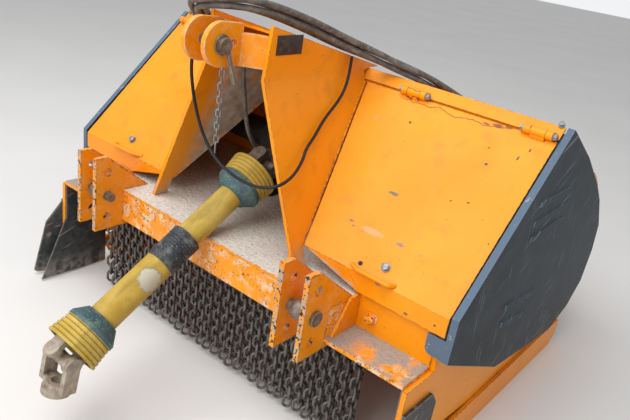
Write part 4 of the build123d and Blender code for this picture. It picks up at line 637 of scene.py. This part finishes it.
# %% Finishes for the CAD nodes
FINISH_OF = {
    "orange_paint": enamel, "grey_paint": grey, "dark_steel": guide_iron, "chain_steel": chain_iron,
    "rotor_steel": rotor_iron, "bright_steel": chrome, "worn_steel": oily_iron,
    "guard_yellow": guard_yellow, "guard_black": guard_black, "guard_teal": guard_teal,
    "hose_rubber": dusty_rubber, "cable_rubber": clean_rubber,
}
OWN_FINISH = {
    "headstock_plate_left": enamel_inner, "headstock_plate_right": enamel_inner,
    "tunnel_floor": enamel_floor, "hitch_beam": enamel_beam, "top_link_bracket": enamel_top,
    "lower_link_bracket_left": enamel_bracket, "lower_link_bracket_right": enamel_bracket,
    "cover_right": enamel_marked, "outer_guard_tube": guard_labelled, "hose_ends": zinc,
    "tractor_yoke": muddy_iron, "front_cross": muddy_iron, "front_shaft_yoke": muddy_iron,
    "gearbox": near_black_iron, "cross_shaft_left": near_black_iron, "cross_shaft_right": near_black_iron,
}


def paint(piece, material):
    if not piece.data.materials:
        piece.data.materials.append(material)
    for number in range(len(piece.material_slots)):
        piece.material_slots[number].material = material


for row in frame["record"]["subparts"]:
    node = frame["nodes"][row["node"]]
    paint(node, OWN_FINISH.get(row["node"], FINISH_OF[row["material_slot"]]))
for hose in hoses + [tunnel_hose]:
    paint(hose, dusty_rubber)
paint(cable, clean_rubber)

# %% [markdown]
# ## Chain links
# A chain link is a round bar bent to an oval and welded. A torus is the same thing with a round outline,
# so it is added, and one half of it is moved away from the other to make the oval. Copies turned by a
# quarter round the chain's own line then make a strand.

# %% Helpers for pieces
def deselect():
    bpy.ops.object.select_all(action="DESELECT")


def pick(piece):
    deselect()
    piece.select_set(True)
    bpy.context.view_layer.objects.active = piece


def own_copy(piece, place):
    twin = piece.copy()
    twin.data = piece.data.copy()
    bpy.context.scene.collection.objects.link(twin)
    twin.data.transform(place)
    return twin


def joined(pieces, name):
    pick(pieces[0])
    for piece in pieces[1:]:
        piece.select_set(True)
    bpy.ops.object.join()
    whole = bpy.context.object
    whole.name = name
    bpy.ops.object.transform_apply(location=True, rotation=True, scale=True)
    return whole


def round_edges(piece, width, steps):
    pick(piece)
    bpy.ops.object.mode_set(mode="EDIT")
    bpy.ops.mesh.select_all(action="SELECT")
    bpy.ops.mesh.bevel(offset=width, segments=steps)
    bpy.ops.object.mode_set(mode="OBJECT")


def settle(piece, body, material, angle=35):
    pick(piece)
    bpy.ops.object.transform_apply(location=True, rotation=True, scale=True)
    bpy.ops.object.shade_smooth_by_angle(angle=radians(angle))
    piece.data.materials.clear()
    piece.data.materials.append(material)
    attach(piece, body)
    print(piece.name, "faces:", len(piece.data.polygons))


# %% One chain link
def chain_link(length, width, wire, around, across):
    deselect()
    bpy.ops.mesh.primitive_torus_add(major_segments=around, minor_segments=across,
                                     major_radius=(width - wire) / 2000, minor_radius=wire / 2000)
    link = bpy.context.object
    bpy.ops.object.mode_set(mode="EDIT")
    bpy.ops.mesh.select_all(action="DESELECT")
    bpy.ops.object.mode_set(mode="OBJECT")
    for vertex in link.data.vertices:
        vertex.select = vertex.co.x > 0.0001
    bpy.ops.object.mode_set(mode="EDIT")
    bpy.ops.transform.translate(value=((length - width) / 1000, 0, 0))
    bpy.ops.mesh.select_all(action="SELECT")
    bpy.ops.transform.translate(value=(-(length - width) / 2000, 0, 0))
    bpy.ops.object.mode_set(mode="OBJECT")
    return link


def link_place(x, d, z, quarter):
    upright = Matrix.Rotation(radians(90), 4, "Y")
    turned = Matrix.Rotation(radians(45 + 90 * quarter), 4, "Z")
    return Matrix.Translation(at(x, d, z)) @ turned @ upright


LINK_LENGTH, LINK_WIDTH, LINK_WIRE = 51.5, 36, 9.5
curtain_link = chain_link(LINK_LENGTH, LINK_WIDTH, LINK_WIRE, around=10, across=5)
print("a curtain link has", len(curtain_link.data.polygons), "faces")

# %% [markdown]
# The curtain hangs from a rail behind the beam's ledge in two rows. Its strands are all cut alike, but
# their links wear, so the lower edge is a little ragged. Each strand also leans a little out of line,
# because the machine has just been set down. The amounts come from its number, so they look uneven and
# never change.

# %% Chain curtain
CHAIN_PITCH, CHAIN_COUNT, CHAIN_ROWS = 36.0, 32, (80.0, 112.0)
RAIL_LOW, FIRST_LINK_DROP = 360.0, 23.0
WEAR = (0, 6, 2, 9, 4, 0, 6, 2, 9, 4, 2)
LINK_STEP = LINK_LENGTH - 2 * LINK_WIRE + 0.3
LINK_COUNT = 10
MOST_LEAN, MOST_SWING = 2.5, 3.5


def strand_x(row, place):
    return (place - (CHAIN_COUNT - 1 - row % 2) / 2) * CHAIN_PITCH


strands = []
for row, d in enumerate(CHAIN_ROWS):
    links = []
    for place in range(CHAIN_COUNT - row % 2):
        lean = sin(place * 2.3 + row * 1.7) * MOST_LEAN
        swing = cos(place * 1.9 + row * 2.9) * MOST_SWING
        step = LINK_STEP - WEAR[(place * 7 + row * 4) % len(WEAR)] / LINK_COUNT
        for i in range(LINK_COUNT):
            low = i / (LINK_COUNT - 1)
            z = RAIL_LOW - FIRST_LINK_DROP - i * step
            place_of_link = link_place(strand_x(row, place) + lean * low, d + swing * low, z, i % 2)
            links.append(own_copy(curtain_link, place_of_link))
    strands.append(joined(links, f"curtain_chains_{row}"))
bpy.data.objects.remove(curtain_link)
print("rows of chain:", len(strands))

# %% [markdown]
# The strands hang from a flat bar. It is a cube drawn out to a bar and bevelled, as rolled bar has soft
# edges, and it stands in for the plain curtain of the frame.

# %% The rail that carries the curtain
RAIL_PAST_ENDS, RAIL_PAST_ROWS, RAIL_THICK = 20, 24, 10
deselect()
bpy.ops.mesh.primitive_cube_add(size=1, location=at(0, sum(CHAIN_ROWS) / 2, RAIL_LOW + RAIL_THICK / 2))
rail = bpy.context.object
rail.scale = ((CHAIN_COUNT * CHAIN_PITCH + RAIL_PAST_ENDS) / 1000,
              (CHAIN_ROWS[-1] - CHAIN_ROWS[0] + RAIL_PAST_ROWS) / 1000, RAIL_THICK / 1000)
bpy.ops.object.transform_apply(location=True, rotation=True, scale=True)
round_edges(rail, 0.002, 2)
rail.name = "curtain_rail"
settle(rail, "frame", chain_iron)
for strand in strands:
    settle(strand, "frame", chain_iron, angle=80)
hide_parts("chain_curtain")

# %% [markdown]
# A thin galvanised chain hangs in the tunnel. It kept the guard from turning with the shaft, and its last
# link is the long one that took the snap hook. Its links are small, so they get more faces round the
# wire.

# %% Safety chain
SAFETY_X, SAFETY_D, SAFETY_TOP = -10.0, 27.0, 986.7
SMALL_LENGTH, SMALL_WIDTH, SMALL_WIRE, SMALL_COUNT = 27.0, 17.0, 4.6, 12
LONG_LENGTH = 44
small_step = SMALL_LENGTH - 2 * SMALL_WIRE + 0.8
small_link = chain_link(SMALL_LENGTH, SMALL_WIDTH, SMALL_WIRE, around=16, across=8)
hung = []
for i in range(SMALL_COUNT):
    z = SAFETY_TOP - SMALL_LENGTH / 2 - i * small_step
    hung.append(own_copy(small_link, link_place(SAFETY_X + sin(i * 1.3), SAFETY_D, z, i % 2)))
bpy.data.objects.remove(small_link)
last_low = SAFETY_TOP - SMALL_LENGTH - (SMALL_COUNT - 1) * small_step
long_link = chain_link(LONG_LENGTH, SMALL_WIDTH, SMALL_WIRE, around=16, across=8)
long_link.data.transform(link_place(SAFETY_X, SAFETY_D, last_low + SMALL_WIRE + 1.5 - LONG_LENGTH / 2, 0))
safety = joined(hung + [long_link], "safety_chain_links")
settle(safety, "frame", dull_zinc, angle=80)
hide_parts("safety_chain")

# %% [markdown]
# ## Bolts
# Hexagon bolts hold the covers, the panels and the hinges. A six-sided cylinder is the head. Its top face
# is inset and raised a little, which gives the slanted rim of a real head, and a bevelled washer lies
# under it.

# %% A hexagon bolt
def hex_bolt(across_flats, height, washer):
    deselect()
    bpy.ops.mesh.primitive_cylinder_add(vertices=6, radius=across_flats / cos(pi / 6) / 2000,
                                        depth=height / 1000, location=(0, 0, height / 2000 + 0.002))
    head = bpy.context.object
    bpy.ops.object.transform_apply(location=True, rotation=True, scale=True)
    bpy.ops.object.mode_set(mode="EDIT")
    bpy.ops.mesh.select_mode(type="FACE")
    bpy.ops.mesh.select_all(action="DESELECT")
    bpy.ops.object.mode_set(mode="OBJECT")
    for face in head.data.polygons:
        face.select = face.normal.z > 0.9
    bpy.ops.object.mode_set(mode="EDIT")
    bpy.ops.mesh.inset(thickness=across_flats / 12000, depth=across_flats / 20000)
    bpy.ops.object.mode_set(mode="OBJECT")
    bpy.ops.mesh.primitive_cylinder_add(vertices=24, radius=washer / 2000, depth=0.0025,
                                        location=(0, 0, 0.00075))
    disc = bpy.context.object
    bpy.ops.object.transform_apply(location=True, rotation=True, scale=True)
    round_edges(disc, 0.0006, 1)
    return joined([head, disc], "bolt")


def stand_on(x, d, z, normal, turn=0.0):
    tilted = Vector(normal).to_track_quat("Z", "Y").to_matrix().to_4x4()
    return Matrix.Translation(at(x, d, z)) @ tilted @ Matrix.Rotation(radians(turn), 4, "Z")


# %% Bolts of the covers, panels and ridge
AHEAD = (0, -1, 0)
BOLT_TURN = 12
BOLTS = (
    # name, body, x, d, z, normal, across flats, washer, finish
    ("cover_bolt_right", "cover_right", 541, 140, 573.9, SLOPE_NORMAL, 19, 26, zinc),
    ("cover_bolt_left", "cover_left", -538, 143, 576.8, SLOPE_NORMAL, 19, 26, zinc),
    ("panel_bolt_right", "frame", 540, 120.9, 426, AHEAD, 24, 40, enamel_rusty),
    ("panel_bolt_left", "frame", -540, 120.9, 426, AHEAD, 24, 40, enamel_rusty),
    ("ridge_bolt_right", "frame", 744, 545, 969.0, SLOPE_NORMAL, 13, 20, zinc),
    ("ridge_bolt_left", "frame", -744, 545, 969.0, SLOPE_NORMAL, 13, 20, zinc),
)
for name, body, x, d, z, normal, flats, washer, bolt_finish in BOLTS:
    bolt = hex_bolt(flats, flats * 0.5, washer)
    bolt.data.transform(stand_on(x, d, z, normal, BOLT_TURN))
    bolt.name = name
    settle(bolt, body, bolt_finish)

# %% [markdown]
# A bolt goes through each of the four hinge barrels, with a head at both ends. The eight heads are one
# piece, because they sit on the ridge and never move.

# %% Hinge bolts
HINGE_X, BARREL_HALF, BARREL_UP = (314.0, 704.0), 41.0, 13.0
heads = []
for side in (-1, 1):
    for x in HINGE_X:
        for end in (-1, 1):
            head = hex_bolt(16, 8, 20)
            head.data.transform(stand_on(side * x + end * BARREL_HALF, HINGE[0] - BARREL_UP * sin(SLOPE),
                                         HINGE[1] + BARREL_UP * cos(SLOPE), (end, 0, 0), 20 * end))
            heads.append(head)
hinge_bolts = joined(heads, "hinge_bolts")
settle(hinge_bolts, "frame", dull_zinc)

# %% [markdown]
# The pin of the upper link carries a flat washer against the bracket's ear. It is a short cylinder whose
# rims are bevelled, as a pressed washer has one rounded side.

# %% Washer on the top link pin
deselect()
bpy.ops.mesh.primitive_cylinder_add(vertices=40, radius=0.027, depth=0.004)
pin_washer = bpy.context.object
round_edges(pin_washer, 0.001, 2)
pin_washer.data.transform(stand_on(47.2, -34, 1045, (1, 0, 0)))
pin_washer.name = "top_pin_washer"
settle(pin_washer, "frame", oily_iron)

# %% [markdown]
# ## Folded corners of the cover flanges
# The lower flange of each cover runs on inwards to the corner of the sloping sheet. Its lower edge is cut
# along a slant there, clear of the floor plate. The corner is a thin wedge, so one flat face is drawn to
# its outline and gets its thickness afterwards. The outline goes in the order of a plane's own four
# corners.

# %% Flange corners
FLANGE_CORNER = ((293.0, 542.0), (489.0, 488.0), (446.0, 542.0), (496.0, 488.0))
FLANGE_D = 106.7


def flange_corner(side, name):
    deselect()
    bpy.ops.mesh.primitive_plane_add(size=1)
    sheet = bpy.context.object
    for vertex, (x, z) in zip(sheet.data.vertices, FLANGE_CORNER):
        vertex.co = at(side * x, FLANGE_D, z)
    bpy.ops.object.mode_set(mode="EDIT")
    bpy.ops.mesh.select_all(action="SELECT")
    bpy.ops.mesh.subdivide(number_cuts=3)
    bpy.ops.mesh.normals_make_consistent(inside=False)
    bpy.ops.object.mode_set(mode="OBJECT")
    thick = sheet.modifiers.new("thickness", "SOLIDIFY")
    thick.thickness = 0.005
    thick.offset = -side
    bpy.ops.object.modifier_apply(modifier="thickness")
    sheet.name = name
    return sheet


settle(flange_corner(1, "flange_corner_right"), "cover_right", enamel_marked)
settle(flange_corner(-1, "flange_corner_left"), "cover_left", enamel)

# %% [markdown]
# ## Wear plates
# Inside each side plate, ahead of the skid, a sheet of bare steel takes the stones that the curtain holds
# back. Its front edge leans forward to the ground. It is one face drawn to the outline, then given its
# thickness.

# %% Wear plates
WEAR_OUTLINE = ((-98.0, 6.0), (172.0, 6.0), (172.0, 366.0), (3.0, 366.0), (3.0, 240.0))
WEAR_X = 729.0


def wear_plate(side, name):
    deselect()
    bpy.ops.mesh.primitive_circle_add(vertices=len(WEAR_OUTLINE), radius=1, fill_type="NGON")
    sheet = bpy.context.object
    for vertex, (d, z) in zip(sheet.data.vertices, WEAR_OUTLINE):
        vertex.co = at(side * WEAR_X, d, z)
    thick = sheet.modifiers.new("thickness", "SOLIDIFY")
    thick.thickness = 0.006
    thick.offset = 0
    bpy.ops.object.modifier_apply(modifier="thickness")
    bpy.ops.object.mode_set(mode="EDIT")
    bpy.ops.mesh.select_all(action="SELECT")
    bpy.ops.mesh.normals_make_consistent(inside=False)
    bpy.ops.object.mode_set(mode="OBJECT")
    round_edges(sheet, 0.0015, 2)
    sheet.name = name
    settle(sheet, "frame", guide_iron)


wear_plate(-1, "wear_plate_left")
wear_plate(1, "wear_plate_right")

# %% [markdown]
# ## Blank plate
# A small black plate of aluminium sits on the side of the headstock. It is a thin slab with bevelled
# rims, turned so that it lies flat on a sheet that is not quite in line with the machine.

# %% Blank plate on the headstock
PLATE_TAPER, PLATE_D, PLATE_Z = 0.01, 141, 1054
plate_normal = Vector((1, PLATE_TAPER, 0)).normalized()
plate_along = Vector((-PLATE_TAPER, 1, 0)).normalized()
plate_x = 118 - PLATE_TAPER * (PLATE_D - 57)
deselect()
bpy.ops.mesh.primitive_cube_add(size=1)
blank = bpy.context.object
blank.scale = (0.103, 0.052, 0.0015)
bpy.ops.object.transform_apply(location=True, rotation=True, scale=True)
round_edges(blank, 0.0006, 2)
turned = Matrix((plate_along, Vector((0, 0, 1)), plate_normal)).transposed().to_4x4()
blank.data.transform(Matrix.Translation(at(plate_x, PLATE_D, PLATE_Z) + plate_normal * 0.0012) @ turned)
blank.name = "blank_plate"
plate_paint = soiled_plastic("aluminium_plate_black", "#232021", "#3a3536", "#6d5a44", 0.4, 0.002, 0.02)
settle(blank, "frame", plate_paint)

# %% [markdown]
# ## Floor and light
# The machine stands on a plain pale floor under soft studio light, so that its plates shade as they do
# under an overcast sky. The floor is one wide sheet, painted matt and a little uneven in tone.

# %% Floor
deselect()
bpy.ops.mesh.primitive_plane_add(size=40, location=(0, 0, 0))
floor = bpy.context.object
floor.name = "studio_floor"
floor_material, floor_shader = start_material("studio_floor_paint")
tint = layer(floor_material, "#e4e3e1", "#e9e8e6", noise_mask(floor_material, 0.8, 0.3, 0.7))
finish(floor_material, floor_shader, tint, None, (0.9, 0.9))
floor.data.materials.append(floor_material)
print("floor laid")

# %% [markdown]
# One broad lamp hangs high in front of the machine, and a weaker one stands lower. The backdrop lights
# the machine at little more than half of its strength, but looks white to the camera and in reflections.

# %% Lamps and backdrop
def soft_lamp(name, place, target, size, power):
    bpy.ops.object.light_add(type="AREA", location=place)
    lamp = bpy.context.object
    lamp.name = name
    lamp.data.size = size
    lamp.data.energy = power
    lamp.rotation_euler = (Vector(place) - Vector(target)).to_track_quat("Z", "Y").to_euler()


MACHINE_MIDDLE = (0, 0, 0.5)
soft_lamp("sky_lamp", (-0.4, -2.3, 4.4), MACHINE_MIDDLE, 4.2, 200)
soft_lamp("front_lamp", (0.6, -4.2, 2.0), MACHINE_MIDDLE, 2.5, 40)
world = bpy.data.worlds.new("studio")
bpy.context.scene.world = world
world.use_nodes = True
background = world.node_tree.nodes["Background"]
background.inputs["Color"].default_value = colour("#f2f3f5")
path = add_node(world, "LightPath")
seen = add_node(world, "Math", {0: path.outputs["Is Camera Ray"], 1: path.outputs["Is Glossy Ray"]},
                operation="MAXIMUM")
strength = add_node(world, "MapRange", {"Value": seen.outputs[0], "To Min": 0.55, "To Max": 1.0})
world.node_tree.links.new(strength.outputs[0], background.inputs["Strength"])
bpy.context.scene.view_settings.view_transform = "Standard"
print("lamps and backdrop set")
